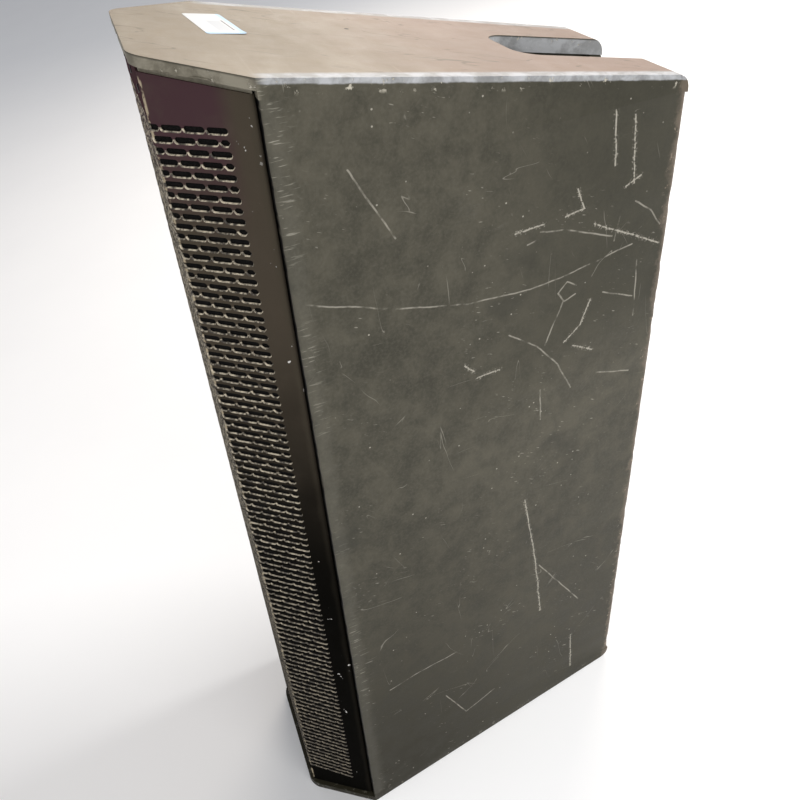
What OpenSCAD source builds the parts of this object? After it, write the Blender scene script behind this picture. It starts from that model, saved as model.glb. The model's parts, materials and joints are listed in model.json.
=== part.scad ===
// Line array speaker element: a wedge-shaped plywood cabinet with two woofers, a central
// high-frequency waveguide and a folded steel grille. It stands on one end panel.
//
// The cabinet is drawn in its own frame and then laid on its end panel by placed():
//   x  across the wedge, + towards the top panel of the hung cabinet
//   y  depth, - towards the grille, + towards the back
//   z  length of the cabinet, + towards the left end as the audience sees it

/* [Cabinet] */
// Length of the wide panels along their front edge
front_length = 1000; // [960:5:1100]
// Height of the cabinet at the front edge of the wide panels
front_height = 296; // [290:1:320]
// Height of the cabinet at the back
rear_height = 207; // [200:1:230]
// Depth from the front edge of the wide panels to the back
body_depth = 397; // [390:1:440]
// Depth of the bevelled front ahead of the wide panels
bevel_depth = 78; // [70:1:90]
// Height of the flat middle of the front
front_flat = 167; // [150:1:180]
// Angle that each end panel makes with the cabinet's depth
end_angle = 10.2; // [8:0.1:11]
// Plywood thickness of the outer panels
ply = 15; // [12:0.5:18]
// Radius of the corners between the flat front and the bevels
front_corner_r = 28; // [8:1:32]
// Radius of the corners between the end panels and the back
rear_corner_r = 14; // [8:1:18]

/* [Baffle] */
// Thickness of the baffle
baffle_t = 18; // [15:1:21]
// Depth of the baffle's front face behind the front edge
baffle_y = 12; // [10:1:16]
// Distance of each woofer's axis from the middle of the cabinet
woofer_pitch = 292; // [290:1:296]
// Radius of the woofer cut-outs
woofer_cut_r = 116; // [115:0.5:117]
// Thickness of the boards inside
inner_ply = 12; // [9:1:12]

/* [Hand recess] */
// Height of the notch in each end panel
recess_h = 85; // [70:1:100]
// Depth of the notch from the back
recess_len = 139; // [120:1:145]
// Radius of the notch's inner corners
recess_r = 24; // [10:1:30]
// Distance of the recess floor from the middle of the cabinet
recess_floor_z = 345; // [340:1:355]
// How far the recess widens behind the edge of the notch
recess_lip = 8; // [4:1:10]

/* [Grille] */
// Thickness of the grille's steel sheet
sheet_t = 1.5; // [1:0.1:2]
// Distance of the grille's face behind the cabinet's outline
grille_inset = 4; // [3:0.1:5]
// Gap between the grille and the rim of each end panel
grille_gap = 4; // [3:0.5:8]
// Thickness of the end panels' rim where it is rebated for the grille
front_edge_t = 9; // [6:0.5:11]
// Thickness of the foam behind the grille
foam_t = 8; // [5:1:10]

/* [Drivers] */
// Outer radius of the woofer frame
frame_r = 127; // [125:0.5:128]
// Radius of the cone's rim
cone_r = 96; // [94:0.5:96]
// Outer radius of the woofer's magnet
magnet_r = 74; // [60:1:76]
// Half width of the horn's mouth along the cabinet
horn_mouth = 144; // [130:1:145]
// Height of the horn's mouth
horn_h = 216; // [200:1:218]
// Depth of the horn from its mouth to its throat
horn_depth = 128; // [120:1:130]

/* [Sockets] */
// Radius of the bore that takes a cable plug
socket_bore_r = 12.5; // [12:0.1:13]
// Depth of the socket's bore
socket_bore_len = 24; // [20:1:25]
// Radius of the rigging plates' threaded holes
rig_hole_r = 4.25; // [4:0.05:5]

/* [Hidden] */
$fn = 64;

BIG = 1500;
EPS = 0.01;
SCREW_EASE = 0.4;
half_len = front_length / 2;
half_front = front_height / 2;
half_rear = rear_height / 2;
wedge = atan((half_front - half_rear) / body_depth);
bevel_angle = atan2(bevel_depth, half_front - front_flat / 2);
paint = [0.34, 0.33, 0.29];
raw_ply = [0.72, 0.58, 0.40];
black_steel = [0.10, 0.09, 0.10];
zinc = [0.70, 0.70, 0.68];

// Where the cabinet's frame goes, so that the right end panel lies on the floor and the
// origin is below the middle of the standing cabinet.
front_low_y = -bevel_depth * cos(end_angle)
    - (half_len + tan(end_angle) * bevel_depth) * sin(end_angle);
arc_y = body_depth - rear_corner_r;
arc_z = half_len - tan(end_angle) * arc_y - rear_corner_r / cos(end_angle);
back_high_y = arc_y * cos(end_angle) + arc_z * sin(end_angle) + rear_corner_r;
stand_y = -(front_low_y + back_high_y) / 2;
stand_z = half_len * cos(end_angle);

function half_height(y) = half_front - y * tan(wedge);
function end_z(y) = half_len - y * tan(end_angle);

// Corners of the front, moved in by d: the flat's corner and a point on the bevel at depth y
function flat_x(d) = front_flat / 2 - d * tan(bevel_angle / 2);
function bevel_x(y, d) = flat_x(d) + (y + bevel_depth - d) / tan(bevel_angle);

module placed() {
    translate([0, stand_y, stand_z])
        rotate([-end_angle, 0, 0])
            children();
}

module mirrored_x(s) { mirror([s < 0 ? 1 : 0, 0, 0]) children(); }
module mirrored_z(s) { mirror([0, 0, s < 0 ? 1 : 0]) children(); }

// ---- rounded outlines -------------------------------------------------------------------
function unit(v) = v / norm(v);
function corner_in(p, i) = unit(p[(i + len(p) - 1) % len(p)] - p[i]);
function corner_out(p, i) = unit(p[(i + 1) % len(p)] - p[i]);
function corner_half(p, i) = acos(corner_in(p, i) * corner_out(p, i)) / 2;

// Points of the arc that rounds corner i with radius r
ARC_STEPS = 10;
function corner_arc(p, i, r) =
    let (
        h = corner_half(p, i),
        c = p[i] + unit(corner_in(p, i) + corner_out(p, i)) * r / sin(h),
        v0 = p[i] + corner_in(p, i) * r / tan(h) - c,
        v1 = p[i] + corner_out(p, i) * r / tan(h) - c,
        turn = 180 - 2 * h
    )
    [
        for (k = [0:ARC_STEPS])
            let (t = k / ARC_STEPS)
                c + (sin((1 - t) * turn) * v0 + sin(t * turn) * v1) / sin(turn)
    ];

// A convex outline whose corners i have the radii r[i]
module rounded(p, r) {
    polygon([for (i = [0:len(p) - 1]) each (r[i] > 0 ? corner_arc(p, i, r[i]) : [p[i]])]);
}

// Outline of the cabinet seen along its length, with its three-facet front
module cross_section() {
    rounded(
        [
            [-front_flat / 2, -bevel_depth], [front_flat / 2, -bevel_depth],
            [half_front, 0], [half_rear, body_depth],
            [-half_rear, body_depth], [-half_front, 0]
        ],
        [front_corner_r, front_corner_r, 0, 0, 0, 0]
    );
}

// Outline of the cabinet seen along x, as points (y, z)
module side_outline() {
    rounded(
        [
            [-bevel_depth, -end_z(-bevel_depth)], [body_depth, -end_z(body_depth)],
            [body_depth, end_z(body_depth)], [-bevel_depth, end_z(-bevel_depth)]
        ],
        [0, rear_corner_r, rear_corner_r, 0]
    );
}

// Extrudes an outline drawn as (y, z) across x
module across_x(w) {
    translate([-w / 2, 0, 0])
        rotate([90, 0, 90])
            linear_extrude(height = w)
                children();
}

module cabinet_solid() {
    intersection() {
        translate([0, 0, -BIG / 2]) linear_extrude(height = BIG) cross_section();
        across_x(BIG) side_outline();
    }
}

// ---- layers of the outer panels ---------------------------------------------------------
module wide_layer(s, t0, t1) {
    mirrored_x(s)
        translate([half_front, 0, 0])
            rotate([0, 0, wedge])
                translate([-t1, -BIG / 2, -BIG / 2])
                    cube([t1 - t0, BIG, BIG]);
}

module end_frame(s) {
    mirrored_z(s)
        translate([0, 0, half_len])
            rotate([-end_angle, 0, 0])
                children();
}

module end_layer(s, t0, t1) {
    end_frame(s)
        translate([-BIG / 2, -BIG / 2, -t1])
            cube([BIG, BIG, t1 - t0]);
}

module depth_layer(y0, y1) {
    translate([-BIG / 2, y0, -BIG / 2]) cube([BIG, y1 - y0, BIG]);
}

// The room inside the panels, up to t from each end face and to y1 at the back
module inside(t, y0, y1) {
    w0 = half_height(y0) - ply / cos(wedge);
    w1 = half_height(y1) - ply / cos(wedge);
    z0 = end_z(y0) - t / cos(end_angle);
    z1 = end_z(y1) - t / cos(end_angle);
    intersection() {
        translate([0, 0, -BIG / 2])
            linear_extrude(height = BIG)
                polygon([[-w0, y0], [w0, y0], [w1, y1], [-w1, y1]]);
        across_x(BIG) polygon([[y0, -z0], [y1, -z1], [y1, z1], [y0, z0]]);
    }
}

// ---- cabinet ------------------------------------------------------------------------------
module wide_panel(s) {
    color(paint)
        difference() {
            intersection() {
                cabinet_solid();
                wide_layer(s, 0, ply);
                depth_layer(0, BIG / 2);
            }
            end_layer(1, -BIG / 2, ply);
            end_layer(-1, -BIG / 2, ply);
        }
}

module notch_outline() {
    rounded(
        [
            [-recess_h / 2, body_depth - recess_len], [recess_h / 2, body_depth - recess_len],
            [recess_h / 2, BIG / 2], [-recess_h / 2, BIG / 2]
        ],
        [recess_r, recess_r, 0, 0]
    );
}

module end_panel(s) {
    color(paint)
        difference() {
            intersection() {
                cabinet_solid();
                end_layer(s, 0, ply);
            }
            translate([0, 0, -BIG / 2]) linear_extrude(height = BIG) notch_outline();
            intersection() {
                end_layer(s, front_edge_t, ply + 1);
                difference() {
                    depth_layer(-BIG / 2, 0);
                    linear_extrude(height = BIG, center = true) batten_outline(BIG / 2);
                }
            }
        }
}

port_z0 = 430;
port_z1 = 460;
port_h = 210;
horn_cut_gap = 5;

module baffle() {
    cut_x = horn_h / 2 + horn_cut_gap;
    cut_z = horn_mouth + horn_cut_gap;
    color(raw_ply)
        difference() {
            inside(ply, baffle_y, baffle_y + baffle_t);
            for (s = [-1, 1]) {
                translate([0, baffle_y - 1, s * woofer_pitch])
                    rotate([-90, 0, 0])
                        cylinder(r = woofer_cut_r, h = baffle_t + 2);
                translate([-port_h / 2, baffle_y - 1, s > 0 ? port_z0 : -port_z1])
                    cube([port_h, baffle_t + 2, port_z1 - port_z0]);
            }
            translate([-cut_x, baffle_y - 1, -cut_z])
                cube([2 * cut_x, baffle_t + 2, 2 * cut_z]);
        }
}

plate_cut_x = 50;
plate_cut_z = 82;

module rear_panel() {
    color(paint)
        difference() {
            intersection() {
                cabinet_solid();
                depth_layer(body_depth - ply, body_depth);
            }
            for (s = [-1, 1]) {
                wide_layer(s, -BIG / 2, ply);
                end_layer(s, -BIG / 2, ply);
                mirrored_z(s)
                    translate([-recess_h / 2, body_depth - ply - 1, recess_floor_z])
                        cube([recess_h, ply + 2, BIG / 2]);
            }
            translate([-plate_cut_x, body_depth - ply - 1, -plate_cut_z])
                cube([2 * plate_cut_x, ply + 2, 2 * plate_cut_z]);
        }
}

divider_z = 162;
lead_hole_r = 12;
lead_hole_x = 62;
lead_hole_y = 352;

module divider(s) {
    back_y = body_depth - ply;
    color(raw_ply)
        difference() {
            intersection() {
                inside(ply, baffle_y + baffle_t, back_y);
                translate([-BIG / 2, -BIG / 2, s > 0 ? divider_z : -divider_z - inner_ply])
                    cube([BIG, BIG, inner_ply]);
            }
            for (x = [-lead_hole_x, lead_hole_x])
                translate([x, lead_hole_y, s * (divider_z - 1) - (s < 0 ? inner_ply + 1 : 0)])
                    cylinder(r = lead_hole_r, h = inner_ply + 2);
        }
}

module port_boards() {
    port_board_t = 9;
    port_board_len = 150;
    color(raw_ply)
        for (s = [-1, 1])
            intersection() {
                inside(ply, baffle_y + baffle_t, baffle_y + baffle_t + port_board_len);
                translate([-BIG / 2, 0, s > 0 ? port_z0 - port_board_t : -port_z0])
                    cube([BIG, BIG / 2, port_board_t]);
            }
}

// Box behind each notch, open towards the end panel and the back
module recess_box(s) {
    w = recess_h / 2 + recess_lip;
    y0 = body_depth - recess_len - recess_lip;
    y1 = body_depth - ply;
    color(paint)
        mirrored_z(s)
            difference() {
                intersection() {
                    inside(ply, y0 - inner_ply, y1);
                    translate([-w - inner_ply, y0 - inner_ply, recess_floor_z - inner_ply])
                        cube([2 * (w + inner_ply), BIG / 2, BIG / 2]);
                }
                translate([-w, y0, recess_floor_z]) cube([2 * w, BIG / 2, BIG / 2]);
            }
}

rig_y = 318;
rig_plate_t = 4;
rig_boss_t = 10;
rig_plate_x = 40;
rig_plate_y = 48;
rig_boss_r = 13;
rig_screw_x = 32;
rig_screw_y = 38;

module rigging_plate(s) {
    color(zinc)
        mirrored_z(s)
            translate([0, rig_y, recess_floor_z])
                difference() {
                    union() {
                        translate([-rig_plate_x, -rig_plate_y, 0])
                            cube([2 * rig_plate_x, 2 * rig_plate_y, rig_plate_t]);
                        cylinder(r = rig_boss_r, h = rig_boss_t);
                    }
                    translate([0, 0, -1]) cylinder(r = rig_hole_r, h = rig_boss_t + 2);
                    for (x = [-rig_screw_x, rig_screw_x], y = [-rig_screw_y, rig_screw_y])
                        translate([x, y, -1])
                            cylinder(r = RIG_SCREW[0] + SCREW_EASE, h = rig_plate_t + 2);
                }
}

// ---- grille -------------------------------------------------------------------------------
grille_ease = 0.3;
flange_x = half_front - ply + 1;
flange_y = -grille_ease;
grille_seat_y = flange_y - sheet_t - grille_ease;
batten_inset = grille_inset + sheet_t + grille_ease;
grille_end = front_edge_t + grille_gap;

// A front outline from the points of its +x half
module symmetric(right) {
    n = len(right);
    polygon([each right, for (i = [n - 1:-1:0]) [-right[i][0], right[i][1]]]);
}

// The surface that the grille rests on, back to the depth y1
module batten_outline(y1) {
    symmetric([
        [flat_x(batten_inset), -bevel_depth + batten_inset],
        [bevel_x(grille_seat_y, batten_inset), grille_seat_y],
        [batten_edge_x, grille_seat_y], [batten_edge_x, y1]
    ]);
}

module grille_outline() {
    d0 = grille_inset;
    d1 = grille_inset + sheet_t;
    y0 = flange_y;
    y1 = flange_y - sheet_t;
    symmetric([
        [flat_x(d0), -bevel_depth + d0], [bevel_x(y0, d0), y0], [flange_x, y0],
        [flange_x, y1], [bevel_x(y1, d1), y1], [flat_x(d1), -bevel_depth + d1]
    ]);
}

batten_t = 20;
batten_edge_x = half_front - ply - 3;
grille_screw_x = [-60, 0, 60];
grille_screw_z = end_z(-bevel_depth) - ply - 16;

module front_grille() {
    color(black_steel)
        difference() {
            intersection() {
                translate([0, 0, -BIG / 2]) linear_extrude(height = BIG) grille_outline();
                inside_ends(grille_end);
            }
            grille_screw_places(GRILLE_SCREW[0] + SCREW_EASE);
        }
}

// Everything more than t inside both end faces
module inside_ends(t) {
    difference() {
        cube([BIG, BIG, BIG], center = true);
        end_layer(1, -BIG, t);
        end_layer(-1, -BIG, t);
    }
}

module grille_screw_places(r) {
    for (s = [-1, 1], x = grille_screw_x)
        translate([x, -bevel_depth - 1, s * grille_screw_z])
            rotate([-90, 0, 0])
                cylinder(r = r, h = 8);
}

module grille_battens() {
    color(paint)
        for (s = [-1, 1])
            intersection() {
                linear_extrude(height = BIG, center = true) batten_outline(baffle_y);
                end_layer(s, ply, ply + batten_t);
            }
}

module grille_foam() {
    d0 = batten_inset;
    d1 = d0 + foam_t;
    foam_back_y = -8;
    foam_end_gap = 1;
    color([0.05, 0.05, 0.05])
        intersection() {
            linear_extrude(height = BIG, center = true)
                symmetric([
                    [flat_x(d0), -bevel_depth + d0], [bevel_x(foam_back_y, d0), foam_back_y],
                    [bevel_x(foam_back_y, d1), foam_back_y], [flat_x(d1), -bevel_depth + d1]
                ]);
            inside_ends(ply + batten_t + foam_end_gap);
        }
}

module damping_foam() {
    pad_t = 30;
    pad_x = 80;
    pad_z0 = 216;
    pad_z1 = 330;
    color([0.25, 0.25, 0.27])
        for (s = [-1, 1])
            translate([-pad_x, body_depth - ply - pad_t, s > 0 ? pad_z0 : -pad_z1])
                cube([2 * pad_x, pad_t, pad_z1 - pad_z0]);
}

// Blank adhesive label on the upper end panel
module end_label() {
    label_w = 86;
    label_h = 34;
    label_t = 0.3;
    label_at = [-39, 4, 0];
    label_turn = 6;
    color([0.92, 0.93, 0.93])
        end_frame(1)
            translate(label_at)
                rotate([0, 0, label_turn])
                    translate([-label_w / 2, -label_h / 2, 0])
                        cube([label_w, label_h, label_t]);
}

// ---- fasteners ----------------------------------------------------------------------------
// Each screw's shank radius, head radius, length and head height
GRILLE_SCREW = [1.6, 3.2, 18, 0.9];
WOOFER_SCREW = [2, 4, 18, 2.4];
HORN_SCREW = [1.8, 3.4, 16, 2];
PLATE_SCREW = [1.8, 3.6, 13, 2.1];
RIG_SCREW = [2.2, 4.2, 14, 2.5];

// A screw pointing down -z with its head's underside at z = 0
module pan_screw(size) {
    r = size[0];
    head_r = size[1];
    length = size[2];
    head_h = size[3];
    difference() {
        union() {
            translate([0, 0, -length]) cylinder(r = r, h = length + EPS);
            cylinder(r = head_r, h = head_h);
        }
        translate([0, 0, head_h / 2]) cylinder(r = head_r / 2, h = head_h, $fn = 6);
    }
}

module grille_screws() {
    color(black_steel)
        for (s = [-1, 1], x = grille_screw_x)
            translate([x, -bevel_depth + grille_inset, s * grille_screw_z])
                rotate([90, 0, 0])
                    pan_screw(GRILLE_SCREW);
}

woofer_screw_r = 121;
woofer_screw_angles = [22.5:45:337.5];

module woofer_screws() {
    color(black_steel)
        for (s = [-1, 1], a = woofer_screw_angles)
            woofer_frame(s)
                rotate([0, 0, a])
                    translate([woofer_screw_r, 0, flange_t])
                        pan_screw(WOOFER_SCREW);
}

horn_flange_w = 14;
horn_flange_t = 4;
horn_flange_z = horn_mouth + horn_flange_w;
horn_flange_x = horn_h / 2 + horn_flange_w;
horn_screw_z = horn_mouth + 9.5;
horn_screw_x = [-90, 0, 90];

module horn_screws() {
    color(black_steel)
        for (s = [-1, 1], x = horn_screw_x)
            translate([x, baffle_y - horn_flange_t, s * horn_screw_z])
                rotate([90, 0, 0])
                    pan_screw(HORN_SCREW);
}

plate_flange_x = 64;
plate_flange_z = 96;
plate_flange_t = 2;
plate_screw_x = 57;
plate_screw_z = 89;

module plate_screws() {
    color(black_steel) {
        for (x = [-plate_screw_x, plate_screw_x], z = [-plate_screw_z, 0, plate_screw_z])
            translate([x, body_depth + plate_flange_t, z])
                rotate([-90, 0, 0])
                    pan_screw(PLATE_SCREW);
        for (s = [-1, 1], x = [-rig_screw_x, rig_screw_x], y = [-rig_screw_y, rig_screw_y])
            mirrored_z(s)
                translate([x, rig_y + y, recess_floor_z + rig_plate_t])
                    pan_screw(RIG_SCREW);
    }
}

// ---- woofer, drawn with its axis along z, the baffle's face at z = 0, the front at +z -----
surround_r = 101;
roll_r = 6.2;
surround_t = 1.2;
surround_land = 7;
flange_t = 5;
cone_t = 1.2;
plate_top = -76;
plate_t = 8;
magnet_t = 20;
coil_r = 20;
coil_bobbin_t = 0.5;
coil_outer_r = coil_r + 1.1;
pole_r = coil_r - 1.2;
spider_z = plate_top + 14;
spider_t = 0.6;
spider_outer_r = 60;
basket_neck_r = 114;
basket_base_r = 74;
basket_base_bore_r = 52;
basket_base_t = 8;
spoke_w = 16;

module woofer_frame(s) {
    translate([0, baffle_y, s * woofer_pitch])
        rotate([90, 0, 0])
            children();
}

module basket(s) {
    spoke = [[105, 0], [basket_neck_r, 0], [76, plate_top], [66, plate_top], [71, -66]];
    neck_h = 10;
    color(black_steel)
        woofer_frame(s)
            difference() {
                union() {
                    ring(surround_r + 5, frame_r, 0, flange_t);
                    ring(surround_r + 5, basket_neck_r, -neck_h, EPS);
                    ring(basket_base_bore_r, basket_base_r, plate_top, plate_top + basket_base_t);
                    ring(
                        spider_outer_r + 1, spider_outer_r + 12,
                        plate_top + basket_base_t - EPS, spider_z - spider_t
                    );
                    for (a = [30:60:330])
                        rotate([90, 0, a])
                            linear_extrude(height = spoke_w, center = true)
                                polygon(spoke);
                }
                for (a = woofer_screw_angles)
                    rotate([0, 0, a])
                        translate([woofer_screw_r, 0, -1])
                            cylinder(r = WOOFER_SCREW[0] + SCREW_EASE, h = flange_t + 2);
            }
}

module ring(r0, r1, z0, z1) {
    difference() {
        translate([0, 0, z0]) cylinder(r = r1, h = z1 - z0);
        translate([0, 0, z0 - 1]) cylinder(r = r0, h = z1 - z0 + 2);
    }
}

plate_r = 68;
magnet_top = plate_top - plate_t;
magnet_bottom = magnet_top - magnet_t;

module top_plate(s) {
    color(zinc) woofer_frame(s) ring(coil_outer_r + 1.1, plate_r, magnet_top, plate_top);
}

module magnet(s) {
    magnet_bore_r = 36;
    color([0.16, 0.16, 0.17])
        woofer_frame(s) ring(magnet_bore_r, magnet_r, magnet_bottom, magnet_top);
}

module yoke(s) {
    yoke_t = 10;
    vent_r = 8;
    color(zinc)
        woofer_frame(s) {
            ring(vent_r, plate_r, magnet_bottom - yoke_t, magnet_bottom);
            ring(vent_r, pole_r, magnet_bottom - 1, plate_top);
        }
}

cone_neck_z = -44;

module cone(s) {
    r0 = coil_r + 0.6;
    lip_z = flange_t - cone_t;
    color([0.08, 0.08, 0.08])
        woofer_frame(s)
            rotate_extrude()
                polygon([
                    [r0, cone_neck_z], [r0 + 3, cone_neck_z], [50, -26], [74, -11],
                    [89, lip_z - 1.5], [cone_r, lip_z], [cone_r, lip_z + cone_t],
                    [88, lip_z + cone_t], [73, -9], [49, -24], [r0, cone_neck_z + 3]
                ]);
}

module dust_cap(s) {
    cap_r = 38;
    cap_base = -29.5;
    dome = 60;
    sink = sqrt(dome * dome - cap_r * cap_r);
    color([0.06, 0.06, 0.06])
        woofer_frame(s)
            translate([0, 0, cap_base])
                rotate_extrude()
                    intersection() {
                        square([cap_r, dome]);
                        difference() {
                            translate([0, -sink]) circle(r = dome);
                            translate([0, -sink]) circle(r = dome - 1);
                        }
                    }
}

module surround(s) {
    color([0.12, 0.12, 0.12])
        woofer_frame(s)
            translate([0, 0, flange_t])
                rotate_extrude() {
                    translate([surround_r, 0])
                        intersection() {
                            difference() {
                                circle(r = roll_r);
                                circle(r = roll_r - surround_t);
                            }
                            translate([-roll_r, 0]) square([2 * roll_r, roll_r]);
                        }
                    translate([cone_r - surround_land, 0]) square([surround_land, surround_t]);
                    translate([surround_r + 5, 0]) square([surround_land + 2, surround_t]);
                }
}

module spider(s) {
    waves = 5;
    wave_h = 1.6;
    r0 = coil_outer_r;
    r1 = spider_outer_r;
    rim = r1 + 10;
    steps = 20;
    color([0.72, 0.60, 0.30])
        woofer_frame(s)
            rotate_extrude()
                polygon([
                    for (i = [0:steps])
                        let (t = i / steps)
                            [r0 + (r1 - r0) * t, spider_z + wave_h * sin(360 * waves * t)],
                    [rim, spider_z], [rim, spider_z - spider_t],
                    for (i = [steps:-1:0])
                        let (t = i / steps)
                            [r0 + (r1 - r0) * t, spider_z - spider_t + wave_h * sin(360 * waves * t)]
                ]);
}

module voice_coil(s) {
    bobbin_r = coil_r + coil_bobbin_t;
    coil_low = plate_top - 12;
    coil_high = plate_top + 4;
    color([0.75, 0.42, 0.20])
        woofer_frame(s) {
            ring(coil_r, bobbin_r, coil_low, cone_neck_z + 2);
            ring(bobbin_r - EPS, coil_outer_r, coil_low, coil_high);
        }
}

// ---- high-frequency section -----------------------------------------------------------------
throat_y = baffle_y + horn_depth;
throat_half = 11;
throat_rim_t = 5;
throat_rim_z = 24;
wall_t = 4;

function flare(t) = throat_half + (horn_mouth - throat_half) * pow(t, 1.7);

module hf_horn() {
    steps = 12;
    y0 = baffle_y - horn_flange_t;
    inner = [for (i = [0:steps]) [flare(i / steps), throat_y - (throat_y - y0) * i / steps]];
    color([0.09, 0.09, 0.10])
        difference() {
            union() {
                translate([-horn_flange_x, y0, -horn_flange_z])
                    cube([2 * horn_flange_x, horn_flange_t, 2 * horn_flange_z]);
                intersection() {
                    translate([-horn_h / 2 - wall_t, 0, 0])
                        rotate([90, 0, 90])
                            linear_extrude(height = horn_h + 2 * wall_t)
                                polygon([
                                    for (p = inner) [p[1], p[0] + wall_t],
                                    for (i = [steps:-1:0]) [inner[i][1], -inner[i][0] - wall_t]
                                ]);
                    translate([-BIG / 2, y0, -horn_mouth - wall_t])
                        cube([BIG, BIG, 2 * (horn_mouth + wall_t)]);
                }
                translate([-horn_h / 2 - 8, throat_y - throat_rim_t, -throat_rim_z])
                    cube([horn_h + 16, throat_rim_t, 2 * throat_rim_z]);
            }
            translate([-horn_h / 2, 0, 0])
                rotate([90, 0, 90])
                    linear_extrude(height = horn_h)
                        polygon([
                            [throat_y + 1, throat_half],
                            for (p = inner) [p[1], p[0]],
                            [y0 - 1, horn_mouth], [y0 - 1, -horn_mouth],
                            for (i = [steps:-1:0]) [inner[i][1], -inner[i][0]],
                            [throat_y + 1, -throat_half]
                        ]);
            for (s = [-1, 1], x = horn_screw_x)
                translate([x, y0 - 1, s * horn_screw_z])
                    rotate([-90, 0, 0])
                        cylinder(r = HORN_SCREW[0] + SCREW_EASE, h = horn_flange_t + 2);
        }
}

guide_len = 86;
driver_y = throat_y + guide_len;
exit_r = 18;

// Shapes the driver's round exit into the horn's tall slot
module hf_waveguide() {
    slot = horn_h / 2 - 3;
    wall = throat_half + 6;
    flange_r = 50;
    guide_flange_t = 6;
    flange_y0 = driver_y - guide_flange_t;
    fan_end_y = driver_y - 22;
    color([0.13, 0.13, 0.14])
        difference() {
            union() {
                linear_extrude(height = 2 * wall, center = true)
                    polygon([
                        [-slot - 5, throat_y], [slot + 5, throat_y],
                        [34, flange_y0], [-34, flange_y0]
                    ]);
                translate([0, flange_y0, 0])
                    rotate([-90, 0, 0])
                        cylinder(r = flange_r, h = guide_flange_t);
            }
            linear_extrude(height = 2 * throat_half - 2, center = true)
                polygon([
                    [-slot, throat_y - 1], [slot, throat_y - 1],
                    [exit_r - 2, fan_end_y], [-exit_r + 2, fan_end_y]
                ]);
            translate([0, fan_end_y - 2, 0])
                rotate([-90, 0, 0])
                    cylinder(r = throat_half, h = driver_y - fan_end_y + 4);
        }
}

// Compression driver, drawn with its axis along z, its exit at z = 0 and its back at -z
module hf_frame() { translate([0, driver_y, 0]) rotate([90, 0, 0]) children(); }

hf_plate_r = 54;
hf_plate_t = 8;
hf_magnet_back = -38;
hf_pole_back = -44;
hf_coil_z = -49;

module hf_front_plate() {
    hf_pole_r = 23;
    color(zinc)
        hf_frame() {
            ring(exit_r, hf_plate_r, -hf_plate_t, 0);
            ring(exit_r, hf_pole_r, hf_pole_back, -hf_plate_t + 1);
        }
}

module hf_magnet() {
    color([0.16, 0.16, 0.17]) hf_frame() ring(33, hf_plate_r + 2, hf_magnet_back, -hf_plate_t);
}

module hf_gap_plate() {
    color(zinc)
        hf_frame() ring(25.2, hf_plate_r, hf_magnet_back - hf_plate_t, hf_magnet_back);
}

module hf_phase_plug() {
    color([0.80, 0.66, 0.30])
        hf_frame()
            translate([0, 0, hf_pole_back])
                cylinder(r1 = exit_r - 0.5, r2 = 3, h = 36);
}

module hf_diaphragm() {
    dome = 30;
    former_r = 24;
    foil_t = 0.6;
    sink = sqrt(dome * dome - former_r * former_r);
    color([0.78, 0.78, 0.80])
        hf_frame() {
            translate([0, 0, hf_coil_z])
                mirror([0, 0, 1])
                    rotate_extrude()
                        intersection() {
                            square([former_r, dome]);
                            difference() {
                                translate([0, -sink]) circle(r = dome);
                                translate([0, -sink]) circle(r = dome - foil_t);
                            }
                        }
            ring(former_r - foil_t / 2, former_r + foil_t / 2, hf_coil_z - foil_t, -41);
            ring(former_r - foil_t / 2, 31, hf_coil_z - foil_t, hf_coil_z);
        }
}

module hf_rear_cover() {
    cover_r = 50;
    cover_h = 28;
    cover_back = 74;
    color(black_steel)
        hf_frame()
            difference() {
                union() {
                    translate([0, 0, -cover_back]) cylinder(r = cover_r, h = cover_h);
                    translate([cover_r - 4, -10, -66]) cube([8, 20, 14]);
                }
                translate([0, 0, 4 - cover_back]) cylinder(r = 34, h = cover_h - 3);
            }
}

// ---- connectors -----------------------------------------------------------------------------
dish_depth = 30;
dish_wall = 2;
socket_z = 40;
socket_r = 15;

module connector_plate() {
    floor_y = body_depth - dish_depth;
    dish_x = plate_cut_x - 1;
    dish_z = plate_cut_z - 1;
    color(black_steel)
        difference() {
            union() {
                translate([-plate_flange_x, body_depth, -plate_flange_z])
                    cube([2 * plate_flange_x, plate_flange_t, 2 * plate_flange_z]);
                translate([-dish_x, floor_y - dish_wall, -dish_z])
                    cube([2 * dish_x, dish_depth + dish_wall + EPS, 2 * dish_z]);
            }
            translate([dish_wall - dish_x, floor_y, dish_wall - dish_z])
                cube([2 * (dish_x - dish_wall), dish_depth + 3, 2 * (dish_z - dish_wall)]);
            for (z = [-socket_z, socket_z])
                translate([0, floor_y - dish_wall - 1, z])
                    rotate([-90, 0, 0])
                        cylinder(r = socket_r + 0.3, h = dish_wall + 2);
            for (x = [-plate_screw_x, plate_screw_x], z = [-plate_screw_z, 0, plate_screw_z])
                translate([x, body_depth - 1, z])
                    rotate([-90, 0, 0])
                        cylinder(r = PLATE_SCREW[0] + SCREW_EASE, h = plate_flange_t + 2);
        }
}

socket_face_y = body_depth - dish_depth + 5;
socket_back = 3;
socket_nut_x = 19;
contact_r = 8;

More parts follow.
